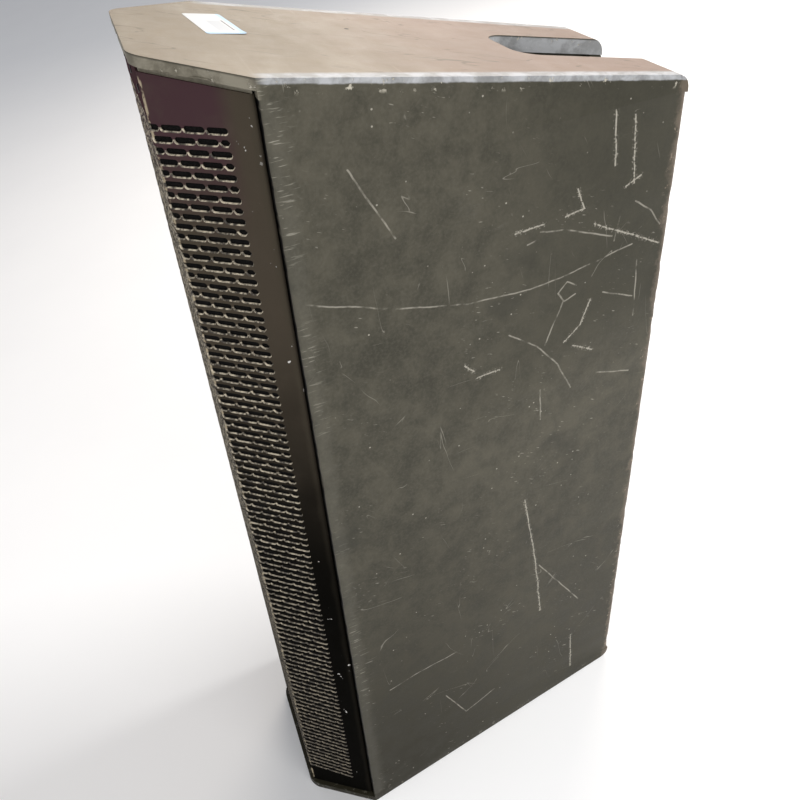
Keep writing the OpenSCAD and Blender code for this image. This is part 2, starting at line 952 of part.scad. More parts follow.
module socket(z) {
    color([0.07, 0.07, 0.08])
        translate([0, socket_face_y, z])
            rotate([-90, 0, 0])
                difference() {
                    union() {
                        translate([0, 0, -socket_bore_len - socket_back])
                            cylinder(r = socket_r, h = socket_bore_len + socket_back);
                        translate([-socket_nut_x, -socket_nut_x, -5])
                            cube([2 * socket_nut_x, 2 * socket_nut_x, 4]);
                        translate([0, 0, -2]) cylinder(r = socket_r + 2, h = 2);
                    }
                    translate([0, 0, -socket_bore_len])
                        cylinder(r = socket_bore_r, h = socket_bore_len + 1);
                    for (a = [45:90:315])
                        rotate([0, 0, a])
                            translate([contact_r, -1.5, -socket_bore_len - socket_back - 1])
                                cube([2, 3, socket_back + 2]);
                }
}

// Four brass tabs behind each socket, which the leads are soldered to
module socket_contacts() {
    color([0.80, 0.62, 0.30])
        for (z = [-socket_z, socket_z])
            translate([0, socket_face_y, z])
                rotate([-90, 0, 0])
                    for (a = [45:90:315])
                        rotate([0, 0, a])
                            translate([contact_r + 0.3, -1.2, -socket_bore_len - socket_back - 6])
                                cube([1.4, 2.4, socket_back + 6]);
}

// ---- crossover on the outer face of the right divider ---------------------------------------
board_gap = 8;
board_t = 1.6;
board_z = -(divider_z + inner_ply + board_gap);

module crossover_board() {
    color([0.12, 0.30, 0.16]) {
        translate([-78, 168, board_z - board_t]) cube([156, 166, board_t]);
        for (x = [-70, 70], y = [176, 326])
            translate([x, y, board_z - EPS]) cylinder(r = 4, h = board_gap + EPS);
    }
}

module on_board(x, y) { translate([x, y, board_z - board_t]) mirror([0, 0, 1]) children(); }

module crossover_coils() {
    color([0.72, 0.40, 0.20]) {
        on_board(-42, 212) ring(14, 30, 0, 24);
        on_board(44, 206) ring(10, 24, 0, 18);
        on_board(44, 262) ring(8, 19, 0, 15);
    }
}

module crossover_capacitors() {
    can_r = 7;
    color([0.75, 0.65, 0.20])
        for (i = [0:3])
            on_board(-66, 262 + 16 * i)
                translate([0, 0, can_r + 0.2])
                    rotate([0, 90, 0])
                        cylinder(r = can_r, h = 40 - 4 * i);
}

module crossover_resistors() {
    color([0.85, 0.84, 0.80])
        for (i = [0:2])
            on_board(16, 290 + 13 * i) cube([48, 9, 9]);
}

// ---- leads inside the cabinet ---------------------------------------------------------------
lead_r = 3;
lead_sides = 8;
ring_steps = 3;

// Points of a smooth curve through the route's own points
function spline(a, b, c, d, t) = 0.5 * (2 * b + (c - a) * t + (2 * a - 5 * b + 4 * c - d) * t * t
    + (3 * b - a - 3 * c + d) * t * t * t);
function smooth(p) = [
    for (i = [0:len(p) - 2], k = [0:ring_steps - 1])
        spline(p[max(i - 1, 0)], p[i], p[i + 1], p[min(i + 2, len(p) - 1)], k / ring_steps),
    p[len(p) - 1]
];
function tangent(p, i) = unit(p[min(i + 1, len(p) - 1)] - p[max(i - 1, 0)]);
function side_dir(t) = unit(cross(t, [0.3, 0.2, 0.93]));

module tube(route, r) {
    p = smooth(route);
    n = len(p);
    points = [
        for (i = [0:n - 1])
            let (t = tangent(p, i), u = side_dir(t), v = cross(t, u))
                for (k = [0:lead_sides - 1])
                    p[i] + r * (cos(360 * k / lead_sides) * u + sin(360 * k / lead_sides) * v)
    ];
    faces = [
        [for (k = [0:lead_sides - 1]) k],
        for (i = [0:n - 2], k = [0:lead_sides - 1])
            let (a = i * lead_sides + k, b = i * lead_sides + (k + 1) % lead_sides)
                each [[a, a + lead_sides, b], [b, a + lead_sides, b + lead_sides]],
        [for (k = [lead_sides - 1:-1:0]) (n - 1) * lead_sides + k]
    ];
    polyhedron(points = points, faces = faces);
}

input_route = [
    [0, 330, -40], [0, 318, -42], [20, 310, -58], [44, 318, -92], [60, 338, -124],
    [lead_hole_x, lead_hole_y, -150], [lead_hole_x, lead_hole_y, -182],
    [60, 348, -200], [56, 334, -206], [52, 320, -200], [50, 312, -194]
];
hf_route = [
    [-58, 280, 0], [-70, 288, -10], [-76, 310, -40], [-72, 336, -90],
    [-lead_hole_x, lead_hole_y, -140], [-lead_hole_x, lead_hole_y, -182],
    [-60, 350, -200], [-50, 340, -206], [-30, 320, -200], [-20, 312, -188]
];
left_route = [
    [-8, 180, -188], [-4, 190, -204], [4, 230, -214], [6, 290, -214], [10, 335, -208],
    [40, 350, -196], [lead_hole_x, lead_hole_y + 7, -178], [lead_hole_x, lead_hole_y + 7, -150],
    [72, 345, -80], [76, 330, 0], [72, 345, 80], [lead_hole_x, lead_hole_y, 150],
    [lead_hole_x, lead_hole_y, 180], [60, 320, 210], [70, 240, 230], [90, 150, 260],
    [94, 100, 280], [88, 62, 290]
];
right_route = [
    [0, 172, -188], [4, 160, -200], [30, 150, -230], [70, 140, -260], [92, 110, -280], [88, 62, -290]
];

module lead(route, c) { color(c) tube(route, lead_r); }

// ---- the standing cabinet ---------------------------------------------------------------------
placed() wide_panel(1);  // top_panel
placed() wide_panel(-1);  // bottom_panel
placed() end_panel(1);  // left_end_panel
placed() end_panel(-1);  // right_end_panel
placed() baffle();
placed() rear_panel();
placed() divider(1);  // left_divider
placed() divider(-1);  // right_divider
placed() port_boards();
placed() recess_box(1);  // left_recess_box
placed() recess_box(-1);  // right_recess_box
placed() rigging_plate(1);  // left_rigging_plate
placed() rigging_plate(-1);  // right_rigging_plate
placed() grille_battens();
placed() front_grille();
placed() grille_foam();
placed() damping_foam();
placed() end_label();
placed() grille_screws();
placed() woofer_screws();
placed() horn_screws();
placed() plate_screws();
placed() basket(1);  // left_basket
placed() top_plate(1);  // left_top_plate
placed() magnet(1);  // left_magnet
placed() yoke(1);  // left_yoke
placed() cone(1);  // left_cone
placed() dust_cap(1);  // left_dust_cap
placed() surround(1);  // left_surround
placed() spider(1);  // left_spider
placed() voice_coil(1);  // left_voice_coil
placed() basket(-1);  // right_basket
placed() top_plate(-1);  // right_top_plate
placed() magnet(-1);  // right_magnet
placed() yoke(-1);  // right_yoke
placed() cone(-1);  // right_cone
placed() dust_cap(-1);  // right_dust_cap
placed() surround(-1);  // right_surround
placed() spider(-1);  // right_spider
placed() voice_coil(-1);  // right_voice_coil
placed() hf_horn();
placed() hf_waveguide();
placed() hf_front_plate();
placed() hf_magnet();
placed() hf_gap_plate();
placed() hf_phase_plug();
placed() hf_diaphragm();
placed() hf_rear_cover();
placed() connector_plate();
placed() socket(-socket_z);  // input_socket
placed() socket(socket_z);  // link_socket
placed() socket_contacts();
placed() crossover_board();
placed() crossover_coils();
placed() crossover_capacitors();
placed() crossover_resistors();
placed() lead(input_route, [0.1, 0.1, 0.1]);  // input_lead
placed() lead(left_route, [0.6, 0.1, 0.1]);  // left_woofer_lead
placed() lead(right_route, [0.6, 0.1, 0.1]);  // right_woofer_lead
placed() lead(hf_route, [0.1, 0.2, 0.5]);  // hf_lead
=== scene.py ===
"""Looks for the wedge-shaped line array speaker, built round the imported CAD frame."""
import json
import math

import bmesh
import bpy
from mathutils import Matrix, Vector, noise


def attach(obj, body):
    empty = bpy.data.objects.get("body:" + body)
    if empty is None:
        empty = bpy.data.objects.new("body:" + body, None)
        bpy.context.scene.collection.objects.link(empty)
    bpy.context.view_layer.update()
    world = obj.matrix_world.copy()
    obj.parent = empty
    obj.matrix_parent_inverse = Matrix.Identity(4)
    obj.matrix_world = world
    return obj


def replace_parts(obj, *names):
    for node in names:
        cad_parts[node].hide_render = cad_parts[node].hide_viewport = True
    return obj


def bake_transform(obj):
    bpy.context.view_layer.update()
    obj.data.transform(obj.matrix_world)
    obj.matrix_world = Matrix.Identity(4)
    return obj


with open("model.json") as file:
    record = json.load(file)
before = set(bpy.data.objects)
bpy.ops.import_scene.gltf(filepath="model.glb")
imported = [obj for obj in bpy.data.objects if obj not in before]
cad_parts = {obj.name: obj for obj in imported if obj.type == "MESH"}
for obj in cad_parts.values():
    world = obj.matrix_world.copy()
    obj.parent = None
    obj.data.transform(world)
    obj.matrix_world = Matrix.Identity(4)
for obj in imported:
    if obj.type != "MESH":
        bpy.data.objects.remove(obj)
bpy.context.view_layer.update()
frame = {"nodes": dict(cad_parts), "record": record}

MM = 0.001
TILT = math.radians(10.2)          # slope of each end panel
DEPTH = 0.397                      # front edge of the wide panels to the back
BEVEL = 0.078                      # depth of the three-facet front
HALF_FLAT = 0.0835
HALF_FRONT = 0.148
HALF_REAR = 0.1035
HALF_LEN = 0.5
PLY = 0.015
WEDGE = math.atan((HALF_FRONT - HALF_REAR) / DEPTH)
FOLD = math.atan2(BEVEL, HALF_FRONT - HALF_FLAT)
STAND_Z = HALF_LEN * math.cos(TILT)
STAND_Y = -0.148486
STAND = Matrix.Translation((0, STAND_Y, STAND_Z)) @ Matrix.Rotation(-TILT, 4, "X")
UNSTAND = STAND.inverted()
CABINET = "cabinet"


def end_z(y):
    return HALF_LEN - y * math.tan(TILT)


INSET = 0.004                      # the grille's face behind the cabinet's outline
NOTCH_HALF = 0.0435                # half the width of the notch at the back of each end panel
NOTCH_Y = 0.25                     # depth at which the notch starts
LABEL_X, LABEL_Y = -0.039, 0.004   # middle of the label on the upper end panel
LABEL_TURN = math.radians(6)
PLUG_X, PLUG_Y, PLUG_R = -0.041, 0.123, 0.0022     # dark plug in the upper end panel
EASE = 0.0002                      # half the soft edge of a painted band


# ---- shader helper -------------------------------------------------------------------------------
class Net:
    """A material's node tree, with short calls for the nodes that are used here."""

    def __init__(self, name):
        self.mat = bpy.data.materials.new(name)
        self.mat.use_nodes = True
        self.tree = self.mat.node_tree
        self.tree.nodes.clear()
        self.out = self.tree.nodes.new("ShaderNodeOutputMaterial")
        self.shader = self.tree.nodes.new("ShaderNodeBsdfPrincipled")
        self.tree.links.new(self.shader.outputs[0], self.out.inputs[0])

    def put(self, socket, value):
        if hasattr(value, "is_output"):
            self.tree.links.new(value, socket)
        else:
            socket.default_value = value

    def node(self, kind, inputs=(), out=0, **props):
        n = self.tree.nodes.new("ShaderNode" + kind)
        for k, v in props.items():
            setattr(n, k, v)
        for k, v in dict(inputs).items():
            self.put(n.inputs[k], v)
        return n.outputs[out]

    def math(self, op, a, b=0.0, clamp=False):
        return self.node("Math", {0: a, 1: b}, operation=op, use_clamp=clamp)

    def mul(self, a, b):
        return self.math("MULTIPLY", a, b)

    def add(self, a, b):
        return self.math("ADD", a, b)

    def sub(self, a, b):
        return self.math("SUBTRACT", a, b)

    def most(self, *items):
        total = items[0]
        for i in items[1:]:
            total = self.math("MAXIMUM", total, i)
        return total

    def least(self, *items):
        total = items[0]
        for i in items[1:]:
            total = self.math("MINIMUM", total, i)
        return total

    def step(self, x, low, high):
        """0 at low, 1 at high, smooth between. low may be above high."""
        a, b, o = (low, high, (0.0, 1.0)) if low < high else (high, low, (1.0, 0.0))
        return self.node("MapRange", {0: x, 1: a, 2: b, 3: o[0], 4: o[1]},
                         interpolation_type="SMOOTHSTEP")

    def mix(self, t, a, b):
        n = self.tree.nodes.new("ShaderNodeMix")
        n.data_type = "RGBA"
        self.put(n.inputs[0], t)
        for i, v in ((6, a), (7, b)):
            self.put(n.inputs[i], v if hasattr(v, "is_output") else (*v[:3], 1.0))
        return n.outputs[2]

    def vec(self, op, a, b=(0, 0, 0), c=(0, 0, 0), out=0):
        return self.node("VectorMath", {0: a, 1: b, 2: c}, out=out, operation=op)

    def place(self, v, scale=(1, 1, 1), turn=(0, 0, 0), shift=(0, 0, 0)):
        return self.node("Mapping", {0: v, 1: shift, 2: turn, 3: scale})

    def noise(self, v, scale, detail=3.0, rough=0.55, warp=0.0):
        return self.node("TexNoise", {"Vector": v, "Scale": scale, "Detail": detail,
                                      "Roughness": rough, "Distortion": warp})

    def cells(self, v, scale):
        """Distance to the nearest of a set of scattered points."""
        return self.node("TexVoronoi", {"Vector": v, "Scale": scale})

    def bump(self, height, depth, strength=1.0, under=None):
        inputs = {"Strength": strength, "Distance": depth, "Height": height}
        if under is not None:
            inputs["Normal"] = under
        return self.node("Bump", inputs)

    def cabinet(self):
        """Coordinates in the cabinet's own frame: across, depth and length."""
        here = self.node("TexCoord", out=3)
        turn = Matrix.Rotation(TILT, 3, "X")
        return self.place(here, turn=(TILT, 0, 0),
                          shift=-(turn @ Vector((0, STAND_Y, STAND_Z))))

    def lines(self, v, angle, pitch, stretch, width, cover, seed):
        """Thin broken scratches that run mostly one way."""
        w = self.place(v, turn=(angle, 0, 0), shift=(seed, seed * 0.7, seed * 1.3))
        w = self.place(w, scale=(pitch, pitch / stretch, pitch))
        n = self.noise(w, 1.0, 1.5, 0.5, 0.4)
        line = self.step(self.math("ABSOLUTE", self.sub(n, 0.5)), width, width * 0.25)
        gate = self.step(self.noise(w, 0.9, 2.0, 0.5), cover, cover + 0.06)
        return self.mul(line, gate)

    def finish(self, colour, rough, normal=None, metal=0.0, specular=0.5, **more):
        s = self.shader.inputs
        self.put(s["Base Color"], colour if hasattr(colour, "is_output") else (*colour, 1))
        self.put(s["Roughness"], rough)
        self.put(s["Metallic"], metal)
        s["Specular IOR Level"].default_value = specular
        if normal is not None:
            self.put(s["Normal"], normal)
        for k, v in more.items():
            s[k.replace("_", " ")].default_value = v
        return self.mat


# ---- marks on the wide panel ---------------------------------------------------------------------
def arc(y, z, r, start, stop, steps):
    """Points of a curved mark, in mm and degrees."""
    return [(y + r * math.cos(math.radians(start + (stop - start) * i / steps)),
             z + r * math.sin(math.radians(start + (stop - start) * i / steps)))
            for i in range(steps + 1)]


BOLD_MARKS = [
    [(317, 412), (322, 362)], [(339, 405), (346, 339)], [(336, 338), (353, 345)],
    [(214, 323), (246, 324)], [(303, 309), (338, 291), (386, 266)],
    [(269, 325), (290, 328), (281, 349)], [(306, 226), (296, 199), (277, 184)],
    [(289, 176), (314, 162)], [(236, -22), (255, -136), (267, -243)],
    [(323, -334), (328, -410)], [(174, 178), (200, 179)], [(160, 198), (171, 187)],
]
FAINT_MARKS = [
    [(242, 317), (270, 312), (326, 290)], [(334, 308), (329, 284)], [(228, 308), (237, 310)],
    [(351, 320), (370, 306), (385, 287)],
    [(6, 317), (95, 284), (166, 266), (233, 260), (267, 262), (352, 274)],
    arc(277, 244, 11, 20, 330, 4), [(273, 235), (253, 189)], [(321, 229), (360, 212)],
    [(323, 128), (368, 114)], [(250, 133), (252, 92)], [(42, -259), (85, -251), (144, -246)],
    [(361, 254), (365, 187)], [(262, -150), (330, -258)], arc(120, 60, 180, 20, 60, 3),
    [(60, 420), (96, 352)], [(120, -330), (150, -392), (196, -372)],
]


def mark_distance(net, v, strokes):
    """Distance to strokes that are polylines of (depth, length) in mm on the wide face."""
    flat = net.vec("MULTIPLY", v, (0, 1, 1))
    closest = None
    for pts in strokes:
        for (y0, z0), (y1, z1) in zip(pts, pts[1:]):
            a = Vector((0, y0, z0)) * MM
            run = Vector((0, y1 - y0, z1 - z0)) * MM
            # a trace of the last distance makes the renderer take the segments one at a time
            here = flat
            if closest is not None:
                here = net.vec("MULTIPLY_ADD", closest, (1e-9,) * 3, flat)
            pa = net.vec("SUBTRACT", here, a)
            t = net.math("ADD", net.vec("DOT_PRODUCT", pa, run / run.length_squared, out=1),
                         0.0, clamp=True)
            d = net.vec("LENGTH", net.vec("MULTIPLY_ADD", t, -run, pa), out=1)
            closest = d if closest is None else net.math("MINIMUM", closest, d)
    return closest


# ---- materials -----------------------------------------------------------------------------------
class Paint(Net):
    """Worn textured cabinet paint, with painted shade, highlights and reflections. Each method lays its
    colours over what is there already.
    """

    def __init__(self, name):
        super().__init__(name)
        self.v = self.cabinet()
        self.soft = self.noise(self.v, 5.0, 6.0, 0.6)
        self.blot = self.noise(self.v, 38.0, 5.0, 0.65, 0.3)

    def along(self, axis):
        return self.node("SeparateXYZ", {0: self.v}, out=axis)

    def over(self, amount, colour):
        self.base = self.mix(amount, self.base, colour)

    def ground(self):
        """Olive grey with blots and stains, with painted shade low down and on the upper rear."""
        fine = self.noise(self.v, 330.0, 3.0, 0.6)
        tone = self.add(self.mul(self.soft, 0.38), self.mul(self.blot, 0.62))
        self.base = self.mix(self.step(tone, 0.34, 0.66),
                             (0.048, 0.045, 0.032), (0.098, 0.090, 0.066))
        self.over(self.mul(self.step(fine, 0.38, 0.75), 0.28), (0.130, 0.122, 0.094))
        stain = self.step(self.noise(self.v, 11.0, 4.0, 0.5), 0.60, 0.74)
        self.over(self.mul(stain, 0.6), (0.036, 0.035, 0.027))
        # painted shade: darker low down, most of all towards the front
        low_shade = self.step(self.along(2), 0.15, -0.50)
        front = self.step(self.along(1), 0.28, 0.05)
        self.over(self.mul(low_shade, self.add(0.62, self.mul(front, 0.36))), (0.024, 0.021, 0.011))
        shade = self.least(self.step(self.along(1), 0.10, 0.34),
                           self.step(self.along(2), 0.10, 0.24))
        self.over(self.mul(shade, 0.70), (0.034, 0.032, 0.020))

    def scuff(self, with_marks):
        """Rubbed patches, thin scratches, flecks and dots, with the drawn marks if asked for."""
        patches = self.noise(self.place(self.v, scale=(1, 1, 2.2)), 9.0, 7.0, 0.75)
        paler = self.mul(self.step(patches, 0.60, 0.80), 0.55)
        self.thin = self.most(
            self.lines(self.v, 0.15, 62.0, 6.0, 0.007, 0.645, 1.7),
            self.lines(self.v, 0.95, 56.0, 7.0, 0.006, 0.655, 4.1),
            self.lines(self.v, -0.75, 60.0, 6.0, 0.007, 0.65, 7.9),
            self.lines(self.v, 1.45, 66.0, 8.0, 0.006, 0.64, 2.6),
        )
        fleck_v = self.place(self.place(self.v, turn=(0.35, 0, 0)), scale=(1, 95, 430))
        flecks = self.mul(self.step(self.noise(fleck_v, 1.0, 2.0, 0.6), 0.66, 0.73),
                          self.step(self.noise(self.v, 13.0, 4.0, 0.6), 0.50, 0.64))
        dots = self.mul(self.step(self.cells(self.v, 75.0), 0.085, 0.040),
                        self.step(self.noise(self.v, 14.0, 2.0), 0.47, 0.56))
        chalk = self.most(self.mul(self.thin, 0.34), self.mul(dots, 0.8), self.mul(flecks, 0.48))
        if with_marks:
            chalk = self.most(chalk, *self.marks())
        self.over(paler, (0.150, 0.142, 0.116))
        self.over(chalk, (0.46, 0.43, 0.36))

    def marks(self):
        """Masks of the bold and the faint marks, with torn edges."""
        jitter = self.node("TexNoise", {"Vector": self.v, "Scale": 45.0, "Detail": 3.0}, out=1)
        wobble = self.vec("SCALE", self.vec("SUBTRACT", jitter, (0.5, 0.5, 0.5)))
        wobble.node.inputs["Scale"].default_value = 0.003
        w = self.vec("ADD", self.v, wobble)
        torn = self.noise(self.v, 420.0, 3.0, 0.7)
        broken = self.step(self.noise(self.v, 60.0, 3.0, 0.6), 0.34, 0.60)
        to_bold = mark_distance(self, w, BOLD_MARKS)
        core = self.mul(self.step(to_bold, 0.0011, 0.0005), self.step(torn, 0.36, 0.50))
        crumbs = self.mul(self.step(to_bold, 0.0040, 0.0010), self.step(torn, 0.55, 0.66))
        bold = self.most(core, crumbs)
        faint = self.mul(self.step(mark_distance(self, w, FAINT_MARKS), 0.0011, 0.0004),
                         self.mul(broken, 0.55))
        return self.mul(bold, 0.8), faint

    def measure(self):
        """Distances from the cabinet's edges, in metres."""
        self.x, self.y, self.z = (self.along(i) for i in range(3))
        tall = self.math("ABSOLUTE", self.z)
        self.wide = self.math("ABSOLUTE", self.x)
        end = self.sub(HALF_LEN, self.mul(self.y, math.tan(TILT)))
        self.to_end = self.mul(self.sub(end, tall), math.cos(TILT))
        side = self.sub(HALF_FRONT, self.mul(self.y, math.tan(WEDGE)))
        self.to_side = self.mul(self.sub(side, self.wide), math.cos(WEDGE))
        self.to_back = self.sub(DEPTH, self.y)
        self.ragged = self.sub(self.noise(self.v, 48.0, 5.0, 0.7), 0.5)

    def wear_edges(self):
        """Pale nicks and rubbed paint along the front edges, and brown wear with a painted red reflection
        at the back.
        """
        rough_edge = self.mul(self.ragged, 0.03)
        nick_v = self.place(self.v, scale=(1, 60, 520))
        nicks = self.mul(self.step(self.noise(nick_v, 1.0, 2.0, 0.6), 0.58, 0.70),
                         self.step(self.add(self.y, rough_edge), 0.026, 0.004))
        nicks = self.mul(nicks, self.step(self.soft, 0.46, 0.60))
        front = self.mul(self.step(self.add(self.y, self.mul(self.ragged, 0.022)), 0.021, 0.006),
                         self.step(self.to_end, 0.012, 0.018))
        front = self.mul(front, self.step(self.y, -0.002, 0.0))
        self.over(self.mul(front, 0.22), (0.170, 0.160, 0.130))
        nicks = self.mul(nicks, self.step(self.y, -0.002, 0.001))
        self.over(self.mul(nicks, 0.75), (0.42, 0.40, 0.33))
        self.to_rear_edge = self.most(self.to_back, self.to_side)
        # brown wear along the back edges, with a painted red reflection
        back_wear_and_reflection = self.step(self.add(self.to_rear_edge, rough_edge), 0.012, 0.003)
        self.over(self.mul(back_wear_and_reflection, 0.55), (0.21, 0.165, 0.125))

    def side_band(self):
        """The band on the round-over between an end panel and the wide panels, where the pale painted
        highlight lies.
        """
        outer = self.step(self.to_end, 0.0003, 0.0014)
        edge = self.add(self.to_side, self.mul(self.ragged, 0.006))
        rim = self.most(outer, self.step(edge, 0.0165, 0.0085))
        depth = self.add(self.to_end, self.mul(self.ragged, 0.003))
        band = self.mul(rim, self.step(depth, 0.0052, 0.0036))
        return self.mul(band, self.step(self.to_side, 0.03, 0.018))

    def dust_and_sheen_top(self):
        """Beige on what faces up, partly dusty and partly a painted sheen, pinker towards the back as a
        painted red reflection, streaked, with one dark plug.
        """
        up = self.node("SeparateXYZ", {0: self.node("NewGeometry", out=1)}, out=2)
        # beige on what faces up: dusty paint, and a painted sheen where light falls on the top
        dust_and_sheen = self.mul(self.step(up, 0.72, 0.93),
                        self.add(0.72, self.mul(self.sub(self.soft, 0.5), 0.5)))
        cloud = self.noise(self.place(self.v, scale=(1.5, 5, 1)), 3.0, 5.0, 0.6)
        beige = self.mix(self.step(cloud, 0.35, 0.70), (0.30, 0.245, 0.185), (0.38, 0.325, 0.26))
        # painted reflection of red things: the top turns pinker towards the back
        red_reflection = self.step(self.add(self.y, self.mul(self.ragged, 0.12)), 0.02, 0.25)
        beige = self.mix(self.mul(red_reflection, 0.6), beige, (0.36, 0.235, 0.20))
        top = self.step(self.to_end, 0.0030, 0.0010)
        self.band = self.side_band()
        self.over(self.mul(dust_and_sheen, top), beige)
        streak_v = self.place(self.v, turn=(0, math.pi / 2, 0))
        streak = self.lines(streak_v, 0.3, 55.0, 5.0, 0.02, 0.52, 3.3)
        self.over(self.mul(self.mul(streak, top), 0.55), (0.11, 0.095, 0.075))
        off = self.node("CombineXYZ", {0: self.sub(self.x, PLUG_X), 1: self.sub(self.y, PLUG_Y)})
        plug = self.step(self.vec("LENGTH", off, out=1), PLUG_R + 0.0004, PLUG_R - 0.0004)
        self.over(self.mul(plug, top), (0.012, 0.011, 0.010))

    def rim_highlights(self):
        """Pale painted highlights on the upper end panel's rim at the wide panels, the front and the
        notch.
        """
        self.upper = self.step(self.z, -0.2, 0.2)
        pale = self.mix(self.step(self.blot, 0.40, 0.62), (0.32, 0.325, 0.33), (0.50, 0.51, 0.53))
        # painted highlight: blue-grey sky light on the round-over, on the upper end panel only
        side = self.mul(self.mul(self.band, self.step(self.y, -0.004, 0.012)), self.upper)
        self.over(self.mul(side, self.add(0.55, self.mul(self.blot, 0.6))), pale)
        # painted highlight on the front rim of the upper end panel
        off_top = self.step(self.to_end, 0.0003, 0.0020)
        board = self.step(self.to_end, PLY + EASE, PLY - EASE)
        front = self.mul(self.mul(off_top, board), self.step(self.y, 0.004, -0.004))
        tone = self.mix(self.step(self.blot, 0.40, 0.62), (0.20, 0.18, 0.135), (0.36, 0.33, 0.26))
        self.over(self.mul(self.mul(front, self.upper), 0.8), tone)
        # pale grey notch wall with a painted highlight of sky light, on the upper end panel only
        notch = self.mul(off_top, self.step(self.wide, NOTCH_HALF + 0.003, NOTCH_HALF + 0.001))
        board = self.step(self.to_end, PLY + EASE, PLY - EASE)
        notch = self.mul(self.mul(notch, board), self.mul(self.upper, self.step(self.y, 0.2, 0.24)))
        self.over(self.mul(notch, 0.8), pale)

    def chip_edges(self):
        """Painted shadow in the gap beside the grille, and chips on the end panels' and the back edges."""
        # painted shadow: the board's front face beside the grille made near black
        gap = self.mul(self.step(self.y, 0.0009, 0.0004), self.step(self.to_side, 0.0014, 0.0024))
        gap = self.mul(gap, self.step(self.to_end, PLY - EASE, PLY + 2 * EASE))
        self.over(gap, (0.003, 0.003, 0.003))
        chip = self.mul(self.step(self.noise(self.v, 130.0, 4.0, 0.7), 0.60, 0.66),
                        self.step(self.to_end, 0.013, 0.007))
        chip = self.mul(chip, self.add(0.25, self.mul(self.upper, 0.75)))
        self.edge_chip = self.mul(chip, self.step(self.to_end, 0.0003, 0.001))
        self.over(self.mul(self.edge_chip, 0.85), (0.60, 0.56, 0.46))
        self.rear_chip = self.mul(self.step(self.noise(self.v, 110.0, 4.0, 0.7), 0.60, 0.66),
                                  self.step(self.to_rear_edge, 0.016, 0.006))
        self.over(self.mul(self.rear_chip, 0.6), (0.45, 0.36, 0.27))

    def close(self):
        rough = self.add(0.50, self.mul(self.sub(self.blot, 0.5), 0.35))
        grain = self.bump(self.noise(self.v, 1100.0, 2.0, 0.6), 0.00025, 0.35)
        waves = self.bump(self.noise(self.v, 38.0, 3.0, 0.5), 0.0012, 0.25, grain)
        cut = self.bump(self.thin, -0.0003, 0.5, waves)
        chipped = self.bump(self.most(self.edge_chip, self.rear_chip), -0.0009, 0.8, cut)
        return self.finish(self.base, rough, chipped, specular=0.17)


def paint(name, with_marks=False):
    coat = Paint(name)
    coat.ground()
    coat.scuff(with_marks)
    coat.measure()
    coat.wear_edges()
    coat.dust_and_sheen_top()
    coat.rim_highlights()
    coat.chip_edges()
    return coat.close()


def coated_steel(name, specular=0.01):
    """Powder coat on the grille: black low down, brown higher up, violet at the top margin, with painted
    highlights along the folds and the turned side edges.
    """
    n = Net(name)
    v = n.cabinet()
    z = n.node("SeparateXYZ", {0: v}, out=2)
    y = n.node("SeparateXYZ", {0: v}, out=1)
    x = n.math("ABSOLUTE", n.node("SeparateXYZ", {0: v}))
    cloud = n.noise(v, 30.0, 5.0, 0.6)
    height = n.step(n.add(z, n.mul(n.noise(v, 8.0, 3.0), 0.15)), -0.05, 0.42)
    height = n.mul(height, height)
    violet = n.mul(n.step(n.add(z, n.mul(cloud, 0.08)), 0.40, 0.50), n.step(x, 0.132, 0.118))
    light = n.mix(violet, (0.074, 0.060, 0.044), (0.070, 0.038, 0.043))
    base = n.mix(height, (0.0028, 0.0025, 0.0018), light)
    dusty = n.mul(n.step(cloud, 0.50, 0.8), n.mul(height, 0.35))
    base = n.mix(dusty, base, (0.095, 0.076, 0.058))
    fine = n.noise(v, 500.0, 2.0)
    base = n.mix(n.mul(n.step(fine, 0.5, 0.8), n.mul(height, 0.12)), base, (0.05, 0.043, 0.038))
    chip = n.mul(n.step(n.noise(v, 95.0, 3.0, 0.6), 0.69, 0.71),
                 n.least(n.step(y, -0.022, -0.014), n.step(y, 0.02, 0.01)))
    base = n.mix(chip, base, (0.72, 0.70, 0.66))
    # painted highlight along the folds, broken up by noise
    off = n.node("CombineXYZ", {0: n.sub(x, HALF_FLAT - 0.0025),
                                1: n.sub(y, INSET - BEVEL + 0.0012)})
    fold_highlight = n.step(n.vec("LENGTH", off, out=1), 0.0026, 0.0012)
    paler = n.mul(fold_highlight, n.step(n.noise(v, 85.0, 4.0, 0.7), 0.46, 0.56))
    base = n.mix(n.mul(paler, 0.8), base, (0.58, 0.49, 0.34))
    # painted highlight where the sheet turns in beside the wide panels, stronger higher up
    bend_highlight = n.step(n.add(x, n.mul(n.sub(cloud, 0.5), 0.006)), 0.1355, 0.1395)
    base = n.mix(n.mul(bend_highlight, n.mul(n.add(height, 0.15), 0.6)), base, (0.066, 0.056, 0.040))
    grain = n.bump(n.noise(v, 1500.0, 2.0), 0.00012, 0.4)
    return n.finish(base, n.add(0.58, n.mul(cloud, 0.25)), grain, specular=specular)


def slot_lip(name):
    """The lower lips of the grille's slots, rubbed through to pale undercoat, with a painted highlight
    where light from above falls; paler higher up.
    """
    n = Net(name)
    v = n.cabinet()
    worn = n.step(n.noise(v, 210.0, 4.0, 0.7), 0.40, 0.62)
    height = n.step(n.node("SeparateXYZ", {0: v}, out=2), -0.45, 0.25)
    # pale worn undercoat that also serves as a painted highlight, paler higher up
    primer_and_highlight = n.mix(height, (0.26, 0.22, 0.16), (0.74, 0.65, 0.49))
    base = n.mix(worn, (0.055, 0.046, 0.036), primer_and_highlight)
    return n.finish(base, 0.5, n.bump(worn, 0.0002, 0.4))


